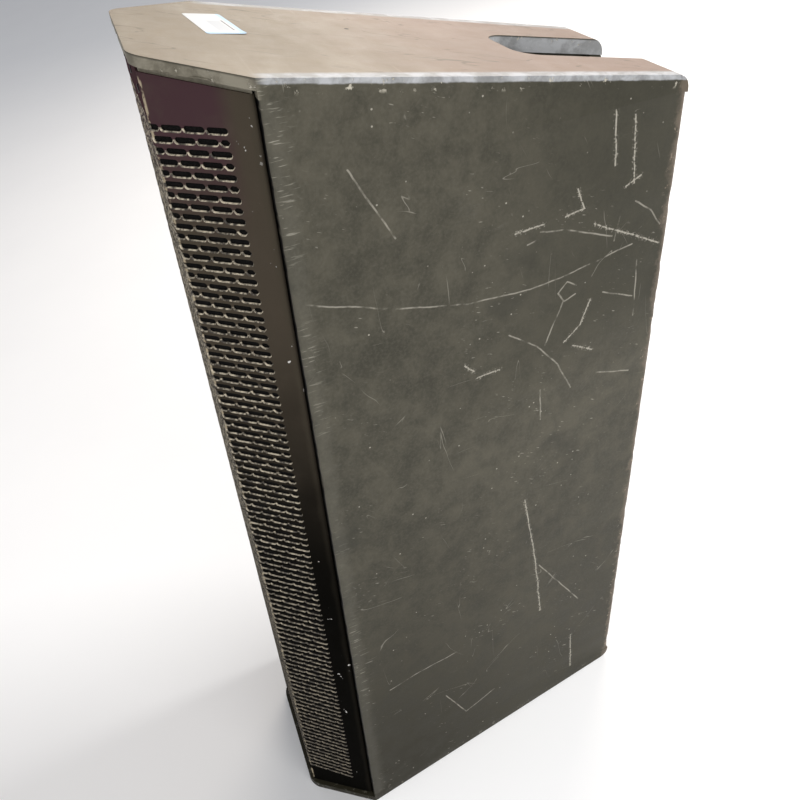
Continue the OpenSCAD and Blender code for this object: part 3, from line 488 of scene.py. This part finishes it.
def plain(name, dark, light, rough, scale, metal=0.0, **more):
    """A material with cloudy tone, fine grain and slightly uneven gloss."""
    n = Net(name)
    v = n.cabinet()
    cloud = n.noise(v, scale, 5.0, 0.6, 0.2)
    fine = n.noise(v, scale * 14.0, 2.0)
    base = n.mix(n.step(n.add(n.mul(cloud, 0.75), n.mul(fine, 0.25)), 0.35, 0.68), dark, light)
    return n.finish(base, n.add(rough - 0.1, n.mul(cloud, 0.2)),
                    n.bump(n.noise(v, 900.0, 2.0), 0.0001, 0.3), metal, **more)


def foam(name, dark, light, pore):
    """Open-cell foam with pores, pore to the metre."""
    n = Net(name)
    v = n.cabinet()
    holes = n.step(n.cells(v, pore), 0.15, 0.6)
    base = n.mix(n.mul(holes, n.noise(v, 40.0, 3.0)), dark, light)
    return n.finish(base, 0.95, n.bump(holes, 0.0008, 0.8), specular=0.1)


def ply_edge(name):
    """Birch plywood: plies across the board's thickness with faint long grain."""
    n = Net(name)
    v = n.cabinet()
    grain = n.noise(n.place(v, scale=(40, 40, 3)), 6.0, 6.0, 0.6, 0.4)
    ring = n.node("TexWave", {"Vector": v, "Scale": 9.0, "Distortion": 6.0, "Detail": 3.0}, out=1)
    base = n.mix(grain, (0.42, 0.28, 0.15), (0.66, 0.49, 0.30))
    base = n.mix(n.mul(ring, 0.25), base, (0.36, 0.22, 0.11))
    return n.finish(base, 0.55, n.bump(grain, 0.0002, 0.3))


def label_film(name):
    """Blank label: white film, pale blue along two edges, a grey block and one dark rule."""
    n = Net(name)
    v = n.cabinet()
    w = n.place(n.place(v, shift=(-LABEL_X, -LABEL_Y, 0)), turn=(0, 0, -LABEL_TURN))
    x, y = (n.node("SeparateXYZ", {0: w}, out=i) for i in range(2))
    stain = n.noise(v, 70.0, 4.0)
    base = n.mix(n.mul(stain, 0.25), (0.66, 0.67, 0.68), (0.48, 0.48, 0.46))
    border = n.most(n.step(x, 0.0345, 0.0352), n.step(y, 0.0125, 0.0132))
    base = n.mix(n.mul(border, 0.9), base, (0.38, 0.58, 0.78))
    block = n.least(n.step(x, -0.012, -0.011), n.step(x, 0.030, 0.029),
                    n.step(y, -0.004, -0.003), n.step(y, 0.0085, 0.0078))
    base = n.mix(n.mul(block, 0.55), base, (0.40, 0.43, 0.48))
    rule = n.least(n.step(x, -0.014, -0.013), n.step(x, 0.028, 0.027),
                   n.step(y, 0.0092, 0.0096), n.step(y, 0.0112, 0.0108))
    base = n.mix(n.mul(rule, 0.9), base, (0.04, 0.04, 0.05))
    return n.finish(base, 0.35, n.bump(stain, 0.0002, 0.3), Coat_Weight=0.2)


MATERIALS = {
    "textured_paint": paint("paint_worn_and_painted_light"),
    "birch_ply": ply_edge("ply_birch"),
    "black_powder_coat": coated_steel("steel_coated"),
    "foam": foam("foam_open_cell", (0.004, 0.004, 0.004), (0.014, 0.013, 0.012), 900.0),
    "damping": foam("foam_damping", (0.03, 0.03, 0.033), (0.09, 0.09, 0.10), 420.0),
    "label_film": label_film("film_label"),
    "black_screw": plain("screw_black", (0.018, 0.017, 0.017), (0.07, 0.065, 0.06), 0.38, 180.0, 0.6),
    "zinc_steel": plain("steel_zinc", (0.42, 0.42, 0.42), (0.62, 0.61, 0.58), 0.36, 90.0, 1.0),
    "ferrite": plain("magnet_ferrite", (0.022, 0.022, 0.024), (0.055, 0.055, 0.06), 0.55, 120.0),
    "cast_black": plain("basket_cast", (0.016, 0.016, 0.017), (0.05, 0.05, 0.052), 0.5, 70.0),
    "paper_cone": plain("cone_paper", (0.020, 0.019, 0.018), (0.055, 0.052, 0.048), 0.8, 50.0),
    "rubber_roll": plain("surround_rubber", (0.012, 0.012, 0.012), (0.03, 0.03, 0.03), 0.6, 80.0),
    "spider_cloth": plain("spider_cloth", (0.35, 0.24, 0.11), (0.55, 0.40, 0.22), 0.85, 200.0),
    "copper_winding": plain("coil_copper", (0.45, 0.20, 0.10), (0.75, 0.38, 0.20), 0.3, 300.0, 1.0),
    "moulded_black": plain("plastic_black", (0.018, 0.018, 0.019), (0.045, 0.045, 0.046), 0.45, 60.0),
    "coated_plain": plain("steel_black", (0.010, 0.010, 0.009), (0.026, 0.024, 0.022), 0.6, 60.0),
    "batten": plain("batten_black", (0.002, 0.002, 0.002), (0.006, 0.006, 0.005), 0.8, 60.0, specular=0.1),
    "phase_brass": plain("plug_brass", (0.45, 0.30, 0.12), (0.70, 0.52, 0.25), 0.3, 120.0, 1.0),
    "titanium": plain("dome_titanium", (0.38, 0.37, 0.36), (0.58, 0.57, 0.55), 0.25, 140.0, 1.0),
    "contact_brass": plain("contact_brass", (0.55, 0.38, 0.15), (0.80, 0.62, 0.32), 0.25, 200.0, 1.0),
    "board_green": plain("board_green", (0.015, 0.07, 0.03), (0.03, 0.14, 0.06), 0.4, 130.0),
    "capacitor_film": plain("capacitor_film", (0.50, 0.38, 0.08), (0.68, 0.55, 0.16), 0.35, 110.0),
    "ceramic": plain("resistor_ceramic", (0.55, 0.53, 0.47), (0.72, 0.70, 0.64), 0.7, 150.0),
    "cable_black": plain("cable_black", (0.012, 0.012, 0.012), (0.04, 0.04, 0.04), 0.5, 130.0),
    "cable_red": plain("cable_red", (0.30, 0.02, 0.015), (0.50, 0.05, 0.03), 0.45, 130.0),
    "cable_blue": plain("cable_blue", (0.02, 0.06, 0.26), (0.05, 0.12, 0.42), 0.45, 130.0),
}
PAINT_MARKED = paint("paint_marked", with_marks=True)
LIP = slot_lip("steel_lip_wear_and_highlight")
FLAT_STEEL = coated_steel("steel_coated_flat", specular=0.0)
SLOT_OF = {s["node"]: s["material_slot"] for s in frame["record"]["subparts"]}


# ---- pieces rebuilt from the CAD's own shapes ----------------------------------------------------
def to_object(bm, name, materials, body=CABINET, smooth_below=32):
    """Finishes a bmesh in cabinet coordinates as a piece that rides on a body."""
    bmesh.ops.transform(bm, matrix=STAND, verts=bm.verts)
    limit = math.radians(smooth_below)
    for f in bm.faces:
        f.smooth = True
    for e in bm.edges:
        e.smooth = e.is_manifold and e.calc_face_angle(0) < limit
    mesh = bpy.data.meshes.new(name)
    bm.to_mesh(mesh)
    bm.free()
    obj = bpy.data.objects.new(name, mesh)
    bpy.context.scene.collection.objects.link(obj)
    for m in materials:
        mesh.materials.append(m)
    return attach(obj, body) if body else obj


def cad_shape(node):
    """A clean copy of a CAD node's shape, in cabinet coordinates."""
    source = frame["nodes"][node]
    bm = bmesh.new()
    bm.from_mesh(source.data)
    bmesh.ops.transform(bm, matrix=UNSTAND @ source.matrix_world, verts=bm.verts)
    bmesh.ops.remove_doubles(bm, verts=bm.verts, dist=2e-5)
    bmesh.ops.dissolve_limit(bm, angle_limit=math.radians(0.4), verts=bm.verts, edges=bm.edges)
    return bm


def sharp_edges(bm, least, keep=lambda a, b: True):
    low = math.radians(least)
    return [e for e in bm.edges if e.is_manifold and e.calc_face_angle(0) > low
            and keep(e.verts[0].co, e.verts[1].co)]


def round_edges(bm, edges, width, segments):
    bmesh.ops.bevel(bm, geom=edges, offset=width, segments=segments, profile=0.5,
                    affect="EDGES", clamp_overlap=True)


def slice_up(bm, axis, low, high, gap):
    count = int((high - low) / gap)
    normal = Vector([1.0 if i == axis else 0.0 for i in range(3)])
    for i in range(1, count):
        at = normal * (low + (high - low) * i / count)
        bmesh.ops.bisect_plane(bm, geom=bm.verts[:] + bm.edges[:] + bm.faces[:], dist=1e-6,
                               plane_co=at, plane_no=normal)


def batter(bm, touch, seed, depth):
    """Dents the vertices where touch(co) is near 1, always inwards."""
    pitch = 70.0
    bm.normal_update()
    moves = []
    for v in bm.verts:
        t = touch(v.co)
        if t <= 0:
            continue
        q = v.co * pitch + Vector((seed, seed * 2, seed * 3))
        d = max(0.0, noise.fractal(q, 0.8, 2.0, 3) - 0.12) * 2.2
        d += max(0.0, noise.noise(v.co * 22)) * 0.35
        moves.append((v, v.normal * (-min(1.0, d) * depth * t)))
    for v, m in moves:
        v.co += m


def near(value, reach):
    return max(0.0, 1.0 - abs(value) / reach)


def wide_panel(node, s):
    bm = cad_shape(node)
    half = lambda y: HALF_FRONT - y * math.tan(WEDGE)
    outer = lambda c: abs(s * c.x - half(c.y)) < 1e-4
    rear = sharp_edges(bm, 30, lambda a, b: outer(a) and outer(b)
                       and a.y > DEPTH - 1e-4 and b.y > DEPTH - 1e-4)
    round_edges(bm, rear, 0.006, 4)
    front = sharp_edges(bm, 30, lambda a, b: outer(a) and outer(b) and max(a.y, b.y) < 1e-4)
    round_edges(bm, front, 0.0022, 3)
    slice_up(bm, 2, -0.5, 0.5, 0.007)
    slice_up(bm, 1, 0.0, 0.03, 0.006)
    batter(bm, lambda c: near(c.y, 0.006) + near(DEPTH - c.y, 0.008), 3.0 + s, 0.0009)
    coat = PAINT_MARKED if s > 0 else MATERIALS["textured_paint"]
    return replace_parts(to_object(bm, node + "_board", [coat]), node)


def end_panel(node, s):
    bm = cad_shape(node)
    depth_in = lambda c: (end_z(c.y) - s * c.z) * math.cos(TILT)
    clear = lambda a, b: depth_in(a) < PLY - 1e-4 and depth_in(b) < PLY - 1e-4
    notch = lambda c: abs(c.x) < NOTCH_HALF and c.y > NOTCH_Y
    rim = sharp_edges(bm, 30, lambda a, b: clear(a, b) and not (notch(a) and notch(b)))
    round_edges(bm, rim, 0.0062, 5)
    lip = sharp_edges(bm, 50, lambda a, b: clear(a, b) and notch(a) and notch(b))
    round_edges(bm, lip, 0.002, 3)
    slice_up(bm, 0, -0.148, 0.148, 0.006)
    slice_up(bm, 1, -0.078, DEPTH, 0.006)
    batter(bm, lambda c: 1.0 if 0.0004 < depth_in(c) < 0.009 else 0.0, 9.0 + s, 0.0016)
    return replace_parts(to_object(bm, node + "_board", [MATERIALS["textured_paint"]]),
                               node)


def reworked(node, width):
    """A fixed node with its sharp edges eased."""
    bm = cad_shape(node)
    round_edges(bm, sharp_edges(bm, 35), width, 2)
    look = "batten" if node == "grille_battens" else SLOT_OF[node]
    look = "coated_plain" if look == "black_powder_coat" else look
    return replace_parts(to_object(bm, node + "_piece", [MATERIALS[look]]), node)


# ---- grille --------------------------------------------------------------------------------------
SHEET = 0.0015
RIM = 0.009                        # thickness of the end panels' rebated rim
GRILLE_GAP = 0.004
FOLD_R = 0.006
EDGE_R = 0.0028
FLANGE_Y = -0.0003
FLANGE_X = HALF_FRONT - PLY + 0.001
FIELD_COLS = 15                    # slots in each full row
FIELD_MARGIN = 0.022               # plain sheet beside the field, on each bevel
ROW = 0.009                        # pitch of the rows
FIELD_LOW, FIELD_HIGH = -0.463, 0.464
SLOT_SHARE, SLOT_H = 0.90, 0.0046  # length of a slot against its pitch, and height
LIP_W = 0.0009                     # width of the worn chamfer round a slot
CELL_STEPS = 12                    # points across a slot's cell


class Section:
    """The grille's cross-section as a path from its middle: point and outward normal at u."""

    def __init__(self):
        flat = HALF_FLAT - INSET * math.tan(FOLD / 2)
        bevel_end_x = flat + (FLANGE_Y + BEVEL - INSET) / math.tan(FOLD)
        cut = FOLD_R * math.tan(FOLD / 2)
        turn2 = math.pi - FOLD
        cut2 = EDGE_R * math.tan(turn2 / 2)
        bevel = math.hypot(bevel_end_x - flat, FLANGE_Y + BEVEL - INSET)
        self.parts = [("line", flat - cut), ("arc", FOLD_R, FOLD),
                      ("line", bevel - cut - cut2), ("arc", EDGE_R, turn2),
                      ("line", bevel_end_x - cut2 - FLANGE_X)]
        self.start = Vector((0.0, -BEVEL + INSET))
        self.length = sum(p[1] if p[0] == "line" else p[1] * p[2] for p in self.parts)
        self.bevel_end_u = flat - cut + FOLD_R * FOLD + bevel - cut - cut2

    def at(self, u):
        side = -1.0 if u < 0 else 1.0
        left = min(abs(u), self.length)
        p, a = self.start.copy(), 0.0
        for part in self.parts:
            if part[0] == "line":
                run = min(left, part[1])
                p += Vector((math.cos(a), math.sin(a))) * run
            else:
                run = min(left, part[1] * part[2])
                b = a + run / part[1]
                p += Vector((math.sin(b) - math.sin(a), math.cos(a) - math.cos(b))) * part[1]
                a = b
            left -= run
            if left <= 1e-12:
                break
        return Vector((side * p.x, p.y)), Vector((side * math.sin(a), -math.cos(a)))


class SlottedSheet:
    """The grille's vertices and faces. u runs across the sheet and w into its thickness."""

    def __init__(self, section):
        self.section = section
        self.field = section.bevel_end_u - FIELD_MARGIN
        self.pitch = 2 * self.field / FIELD_COLS
        self.fine = self.pitch / CELL_STEPS
        self.verts, self.faces, self.lips = [], [], []
        self.known, self.stations = {}, {}

    def vert(self, u, z, w):
        key = (round(u * 1e6), round(z * 1e6), round(w * 1e6))
        if key in self.known:
            return self.known[key]
        place = round(u * 1e7)
        if place not in self.stations:
            self.stations[place] = self.section.at(u)
        p, nrm = self.stations[place]
        inside = abs(u) < self.section.bevel_end_u + EDGE_R - 0.01
        ripple = 0.00022 * noise.noise(Vector((u * 14, z * 9, 2.0)))
        q = p - nrm * (w + ripple * inside)
        self.verts.append((q.x, q.y, z))
        self.known[key] = len(self.verts) - 1
        return self.known[key]

    def face(self, ids, lip=False, flip=False):
        ids = list(dict.fromkeys(ids))
        if len(ids) < 3:
            return
        self.faces.append(tuple(reversed(ids)) if flip else tuple(ids))
        self.lips.append(1 if lip else 0)

    def cell(self, u0, u1, z0, z1, slot_u, half):
        """A rectangle of sheet round one slot of the given half length."""
        n = int(round((u1 - u0) / self.fine)) + 1
        r = SLOT_H / 2
        zc = (z0 + z1) / 2
        upper = slot_outline(n, half, r)
        wide_upper = slot_outline(n, half + LIP_W, r + LIP_W)
        loops = []
        for shape, w in ((wide_upper, 0.0), (upper, LIP_W), (upper, SHEET)):
            up = [self.vert(slot_u + px, zc + pz, w) for px, pz in shape]
            down = [self.vert(slot_u + px, zc - pz, w) for px, pz in shape]
            loops.append((up, down))
        for w, (up, down), flip in ((0.0, loops[0], False), (SHEET, loops[2], True)):
            top = [self.vert(u0 + (u1 - u0) * i / (n - 1), z1, w) for i in range(n)]
            low = [self.vert(u0 + (u1 - u0) * i / (n - 1), z0, w) for i in range(n)]
            for i in range(n - 1):
                self.face((top[i], up[i], up[i + 1], top[i + 1]), flip=flip)
                self.face((low[i], low[i + 1], down[i + 1], down[i]), flip=flip)
            self.face((top[0], low[0], down[0], up[0]), flip=flip)
            self.face((top[-1], up[-1], down[-1], low[-1]), flip=flip)
        # only the lower lips and slot ends take the lip material, worn undercoat with a painted highlight;
        # the upper lips keep the dark coat
        for (ua, da), (ub, db) in zip(loops, loops[1:]):
            for i in range(n - 1):
                self.face((ua[i], ub[i], ub[i + 1], ua[i + 1]))
                self.face((da[i], da[i + 1], db[i + 1], db[i]), lip=True)
            self.face((ua[0], da[0], db[0], ub[0]), lip=True)
            self.face((ua[-1], ub[-1], db[-1], da[-1]), lip=True)

    def slots(self, levels):
        """The field: full rows, and between them rows set off by half a pitch."""
        slot_len = SLOT_SHARE * self.pitch
        inner = self.field - self.pitch / 2
        short = (slot_len - self.pitch / 2) / 2
        short_u = inner + (self.pitch - slot_len) / 2 + short
        for k, (z1, z0) in enumerate(zip(levels, levels[1:])):
            full = k % 2 == 0
            start = self.field if full else inner
            if not full:
                self.cell(-self.field, -inner, z0, z1, -short_u, short)
            for c in range(FIELD_COLS if full else FIELD_COLS - 1):
                u0 = -start + c * self.pitch
                self.cell(u0, u0 + self.pitch, z0, z1, u0 + self.pitch / 2, slot_len / 2)
            if not full:
                self.cell(inner, self.field, z0, z1, short_u, short)

    def strip(self, us, zs):
        """A plain part of the sheet; zs(u) gives its levels from the top down."""
        for ua, ub in zip(us, us[1:]):
            za, zb = zs(ua), zs(ub)
            for i in range(len(za) - 1):
                for w, flip in ((0.0, False), (SHEET, True)):
                    self.face((self.vert(ua, za[i], w), self.vert(ua, za[i + 1], w),
                               self.vert(ub, zb[i + 1], w), self.vert(ub, zb[i], w)), flip=flip)

    def limit_z(self, u, s):
        """Where the sheet ends, below the rebated rim of an end panel."""
        y = self.section.at(u)[0].y
        return s * (end_z(y) - (RIM + GRILLE_GAP) / math.cos(TILT))

    def end_levels(self, u, s):
        limit = self.limit_z(u, s)
        inside = FIELD_HIGH if s > 0 else FIELD_LOW
        return [limit + (inside - limit) * i / 4 for i in range(5)]

    def margins(self, levels):
        """Plain sheet beside, above and below the field, and the cut edges."""
        bevel_end = self.section.bevel_end_u
        side_us = [self.field + (bevel_end - self.field) * i / 4 for i in range(5)]
        side_us += [bevel_end + EDGE_R * (math.pi - FOLD) * i / 7 for i in range(1, 8)]
        side_us += [self.section.length]
        inner_us = [-self.field + self.fine * i for i in range(CELL_STEPS * FIELD_COLS + 1)]
        all_us = [-u for u in reversed(side_us[1:])] + inner_us + side_us[1:]
        self.strip(side_us, lambda u: levels)
        self.strip([-u for u in reversed(side_us)], lambda u: levels)
        for s in (1, -1):
            self.strip(all_us, lambda u: self.end_levels(u, s)[::s])
            for ua, ub in zip(all_us, all_us[1:]):
                za, zb = self.limit_z(ua, s), self.limit_z(ub, s)
                self.face((self.vert(ua, za, 0), self.vert(ub, zb, 0),
                           self.vert(ub, zb, SHEET), self.vert(ua, za, SHEET)), flip=s < 0)
        for side in (1, -1):
            u = side * self.section.length
            zs = self.end_levels(u, 1)[:-1] + levels + self.end_levels(u, -1)[-2::-1]
            for a, b in zip(zs, zs[1:]):
                self.face((self.vert(u, a, 0), self.vert(u, a, SHEET),
                           self.vert(u, b, SHEET), self.vert(u, b, 0)), flip=side > 0)


def slot_outline(n, half, r):
    """n points over a slot's upper half, from its left to its right."""
    ends = max(2, n // 3)
    pts = []
    for i in range(ends):
        a = math.radians(172 - (172 - 100) * i / (ends - 1))
        pts.append((-half + r + r * math.cos(a), r * math.sin(a)))
    mid = n - 2 * ends
    for i in range(mid):
        t = (i + 1) / (mid + 1)
        pts.append((-(half - r) + 2 * (half - r) * t, r))
    return pts + [(-px, pz) for px, pz in reversed(pts[:ends])]


def grille():
    """The folded sheet with real slots, whose lower lips are worn and carry a painted highlight."""
    sheet = SlottedSheet(Section())
    rows = int(round((FIELD_HIGH - FIELD_LOW) / ROW))
    levels = [FIELD_HIGH - (FIELD_HIGH - FIELD_LOW) * i / rows for i in range(rows + 1)]
    sheet.slots(levels)
    sheet.margins(levels)
    mesh = bpy.data.meshes.new("grille_sheet")
    mesh.from_pydata(sheet.verts, [], sheet.faces)
    mesh.polygons.foreach_set("material_index", sheet.lips)
    looks = [MATERIALS["black_powder_coat"], LIP, FLAT_STEEL]
    for look in looks:
        mesh.materials.append(look)
    bm = bmesh.new()
    bm.from_mesh(mesh)
    bmesh.ops.remove_doubles(bm, verts=bm.verts, dist=1e-7)
    bmesh.ops.recalc_face_normals(bm, faces=bm.faces)
    for f in bm.faces:
        if f.material_index == 0 and abs(f.calc_center_median().x) < HALF_FLAT - FOLD_R:
            f.material_index = looks.index(FLAT_STEEL)
    obj = to_object(bm, "grille_slotted", looks, smooth_below=38)
    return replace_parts(obj, "front_grille")


# ---- label ---------------------------------------------------------------------------------------
def label():
    """Film with rounded corners; one corner has lifted a little."""
    wide, tall, r = 0.086, 0.034, 0.003
    cols, rows = 40, 18
    bm = bmesh.new()
    grid = {}
    for i in range(cols + 1):
        for j in range(rows + 1):
            x, y = wide * (i / cols - 0.5), tall * (j / rows - 0.5)
            ex, ey = max(0, abs(x) - (wide / 2 - r)), max(0, abs(y) - (tall / 2 - r))
            d = math.hypot(ex, ey)
            if d > r:
                x = math.copysign(wide / 2 - r + ex * r / d, x)
                y = math.copysign(tall / 2 - r + ey * r / d, y)
            curl = max(0.0, (x / wide + y / tall) - 0.72) ** 2 * 0.012
            lift = 0.00022 + curl + 0.00006 * noise.noise(Vector((x * 60, y * 60, 5)))
            grid[i, j] = (bm.verts.new((x, y, lift)), bm.verts.new((x, y, lift - 0.00018)))
    for i in range(cols):
        for j in range(rows):
            a, b, c, d = grid[i, j], grid[i + 1, j], grid[i + 1, j + 1], grid[i, j + 1]
            bm.faces.new((a[0], b[0], c[0], d[0]))
            bm.faces.new((d[1], c[1], b[1], a[1]))
    rim = [(i, 0) for i in range(cols)] + [(cols, j) for j in range(rows)] \
        + [(i, rows) for i in range(cols, 0, -1)] + [(0, j) for j in range(rows, 0, -1)]
    for p, q in zip(rim, rim[1:] + rim[:1]):
        bm.faces.new((grid[p][0], grid[p][1], grid[q][1], grid[q][0]))
    place = Matrix.Translation((0, 0, HALF_LEN)) @ Matrix.Rotation(-TILT, 4, "X") \
        @ Matrix.Translation((LABEL_X, LABEL_Y, 0)) @ Matrix.Rotation(LABEL_TURN, 4, "Z")
    bmesh.ops.transform(bm, matrix=place, verts=bm.verts)
    bmesh.ops.recalc_face_normals(bm, faces=bm.faces)
    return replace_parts(to_object(bm, "label_blank", [MATERIALS["label_film"]]),
                               "end_label")


# ---- soft pieces inside --------------------------------------------------------------------------
def grille_lining():
    """The thin foam behind the grille, cut in one folded sheet."""
    bm = cad_shape("grille_foam")
    slice_up(bm, 2, -0.49, 0.49, 0.02)
    slice_up(bm, 0, -0.15, 0.15, 0.015)
    for v in bm.verts:
        v.co.y += 0.0004 * (1 + noise.noise(v.co * 40))
    obj = to_object(bm, "foam_lining", [MATERIALS["foam"]])
    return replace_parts(obj, "grille_foam")


def damping_pads():
    """Two convoluted foam pads on the rear panel."""
    back, thick, valley = DEPTH - PLY, 0.030, 0.012
    half_x, low, high = 0.080, 0.216, 0.330
    nx, nz, bumps_x, bumps_z = 64, 46, 7, 5
    bm = bmesh.new()
    for s in (1, -1):
        rows = []
        for i in range(nx + 1):
            x = -half_x + 2 * half_x * i / nx
            line = []
            for k in range(nz + 1):
                z = low + (high - low) * k / nz
                wave = (1 - math.cos(2 * math.pi * bumps_x * i / nx)) \
                    * (1 - math.cos(2 * math.pi * bumps_z * k / nz)) / 4
                rise = thick - valley * (1 - wave)
                line.append((bm.verts.new((x, back - rise, s * z)),
                             bm.verts.new((x, back, s * z))))
            rows.append(line)
        for i in range(nx):
            for k in range(nz):
                a, b, c, d = rows[i][k], rows[i + 1][k], rows[i + 1][k + 1], rows[i][k + 1]
                bm.faces.new([p[0] for p in (a, b, c, d)])
                bm.faces.new([p[1] for p in (d, c, b, a)])
        rim = [rows[i][0] for i in range(nx)] + [rows[nx][k] for k in range(nz)]
        rim += [rows[i][nz] for i in range(nx, 0, -1)] + [rows[0][k] for k in range(nz, 0, -1)]
        for p, q in zip(rim, rim[1:] + rim[:1]):
            bm.faces.new((p[0], p[1], q[1], q[0]))
    bmesh.ops.recalc_face_normals(bm, faces=bm.faces)
    obj = to_object(bm, "damping_pads", [MATERIALS["damping"]], smooth_below=50)
    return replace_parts(obj, "damping_foam")


BAFFLE_Y = 0.012                   # front face of the baffle
WOOFER_Z = 0.292                   # woofers' middles above and below the cabinet's
SECTORS = 12
SECTOR_STEPS = 5


def suspension(kind, side, profile):
    """A ring in sectors, swept from a profile round a woofer's axis, each sector a separate piece."""
    s = 1 if side == "left" else -1
    node = side + "_" + kind

    def point(r, a, forward):
        return Vector((r * math.cos(a), BAFFLE_Y - forward, s * WOOFER_Z + r * math.sin(a)))

    for k in range(SECTORS):
        a0 = 2 * math.pi * k / SECTORS
        turn = 2 * math.pi / SECTORS
        bm = bmesh.new()
        loops = [[bm.verts.new(point(r, a0 + turn * i / SECTOR_STEPS, f)) for r, f in profile]
                 for i in range(SECTOR_STEPS + 1)]
        for la, lb in zip(loops, loops[1:]):
            for i in range(len(profile)):
                j = (i + 1) % len(profile)
                bm.faces.new((la[i], la[j], lb[j], lb[i]))
        bm.faces.new(loops[0])
        bm.faces.new(list(reversed(loops[-1])))
        bmesh.ops.recalc_face_normals(bm, faces=bm.faces)
        obj = to_object(bm, f"{node}_{k + 1}", [MATERIALS[SLOT_OF[node]]], body=None)
        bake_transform(obj)
        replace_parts(obj, node)


def roll_profile():
    """Half-roll surround: outer land, roll and inner land, as (radius, forward) in metres."""
    land, thick, centre, big = 0.0050, 0.0012, 0.101, 0.0062
    rim, inner, steps = 0.115, 0.089, 12
    ring = [(rim, land), (rim, land + thick)]
    for i in range(steps + 1):
        a = math.radians(12 + 156 * i / steps)
        ring.append((centre + big * math.cos(a), land + big * math.sin(a)))
    ring += [(inner, land + thick), (inner, land)]
    for i in range(steps + 1):
        a = math.radians(178 - 176 * i / steps)
        ring.append((centre + (big - thick) * math.cos(a), land + (big - thick) * math.sin(a)))
    return ring


def spider_profile():
    """Corrugated cloth from the voice coil to the basket's ledge."""
    low, high, level = 0.0211, 0.060, -0.062
    waves, tall, thick, steps = 5, 0.0016, 0.0006, 40
    land = 0.071
    line = [(low + (high - low) * i / steps,
             level + tall * math.sin(2 * math.pi * waves * i / steps)) for i in range(steps + 1)]
    line.append((land, level))
    return line + [(r, f + thick) for r, f in reversed(line)]


# ---- build ---------------------------------------------------------------------------------------
wide_panel("top_panel", 1)
wide_panel("bottom_panel", -1)
end_panel("left_end_panel", 1)
end_panel("right_end_panel", -1)
grille()
label()
grille_lining()
damping_pads()
for side in ("left", "right"):
    suspension("surround", side, roll_profile())
    suspension("spider", side, spider_profile())
for node in ("rear_panel", "left_recess_box", "right_recess_box", "left_rigging_plate",
             "right_rigging_plate", "grille_battens", "connector_plate", "input_socket",
             "link_socket", "plate_screws", "grille_screws"):
    reworked(node, 0.0018 if node == "rear_panel" else 0.0005)

for name, obj in frame["nodes"].items():
    obj.data.materials.clear()
    obj.data.materials.append(MATERIALS[SLOT_OF[name]])
    weld = obj.modifiers.new("weld", "WELD")
    weld.merge_threshold = 2e-5

# ---- stage, light and camera ---------------------------------------------------------------------
CAM_AT = Vector((0.7300, -0.1293, 1.1566))
CAM_LOOK = Vector((-0.7590, 0.1290, -0.6382)).normalized()
CAM_ROLL = math.radians(17.37)
CAM_LENS = 36.74
FLOOR_SIZE = 30.0
FLOOR_DROP = 0.0006                # keeps the floor clear of the cabinet's own face

floor_net = Net("floor_pale")
floor_v = floor_net.node("TexCoord", out=3)
floor_tone = floor_net.noise(floor_v, 3.0, 4.0)
floor_colour = floor_net.mix(floor_tone, (0.90, 0.90, 0.91), (0.94, 0.94, 0.945))
floor_mat = floor_net.finish(floor_colour, 0.75, floor_net.bump(floor_tone, 0.0005, 0.1),
                             specular=0.1)
floor_bm = bmesh.new()
bmesh.ops.create_grid(floor_bm, x_segments=8, y_segments=8, size=FLOOR_SIZE / 2)
floor_mesh = bpy.data.meshes.new("floor")
floor_bm.to_mesh(floor_mesh)
floor_bm.free()
floor_mesh.materials.append(floor_mat)
floor = bpy.data.objects.new("floor", floor_mesh)
floor.location.z = -FLOOR_DROP
bpy.context.scene.collection.objects.link(floor)


def soft_light(name, at, aim, size, watts, colour=(1, 1, 1)):
    data = bpy.data.lights.new(name, "AREA")
    data.shape = "RECTANGLE"
    data.size, data.size_y = size
    data.energy = watts
    data.color = colour
    lamp = bpy.data.objects.new(name, data)
    lamp.location = at
    lamp.rotation_mode = "QUATERNION"
    lamp.rotation_quaternion = (Vector(aim) - Vector(at)).to_track_quat("-Z", "Y")
    bpy.context.scene.collection.objects.link(lamp)


soft_light("fill_front", (3.2, 1.2, 2.6), (0, 0, 0.5), (2.4, 1.8), 42, (1.0, 0.985, 0.95))
soft_light("key_side", (0.5, 3.2, 3.6), (0, 0, 0.5), (1.5, 1.5), 165, (1.0, 0.99, 0.97))
soft_light("front_low", (0.9, -2.4, 2.4), (0, 0, 0.5), (1.2, 1.2), 14, (1.0, 0.97, 0.92))
soft_light("sheen_back", (-2.5, 1.7, 2.3), (0, 0, 1.0), (2.4, 2.0), 60, (1.0, 0.90, 0.78))

world = bpy.data.worlds.new("studio")
world.use_nodes = True
world.node_tree.nodes["Background"].inputs[0].default_value = (0.93, 0.95, 1.0, 1)
world.node_tree.nodes["Background"].inputs[1].default_value = 0.42
bpy.context.scene.world = world
bpy.context.scene.view_settings.view_transform = "Standard"

camera_data = bpy.data.cameras.new("camera")
camera_data.sensor_width = 36.0
camera_data.lens = CAM_LENS
camera_data.clip_start = 0.05
camera = bpy.data.objects.new("camera", camera_data)
camera.location = CAM_AT
camera.rotation_mode = "QUATERNION"
level = CAM_LOOK.to_track_quat("-Z", "Y")
camera.rotation_quaternion = level @ Matrix.Rotation(-CAM_ROLL, 3, "Z").to_quaternion()
bpy.context.scene.collection.objects.link(camera)
bpy.context.scene.camera = camera
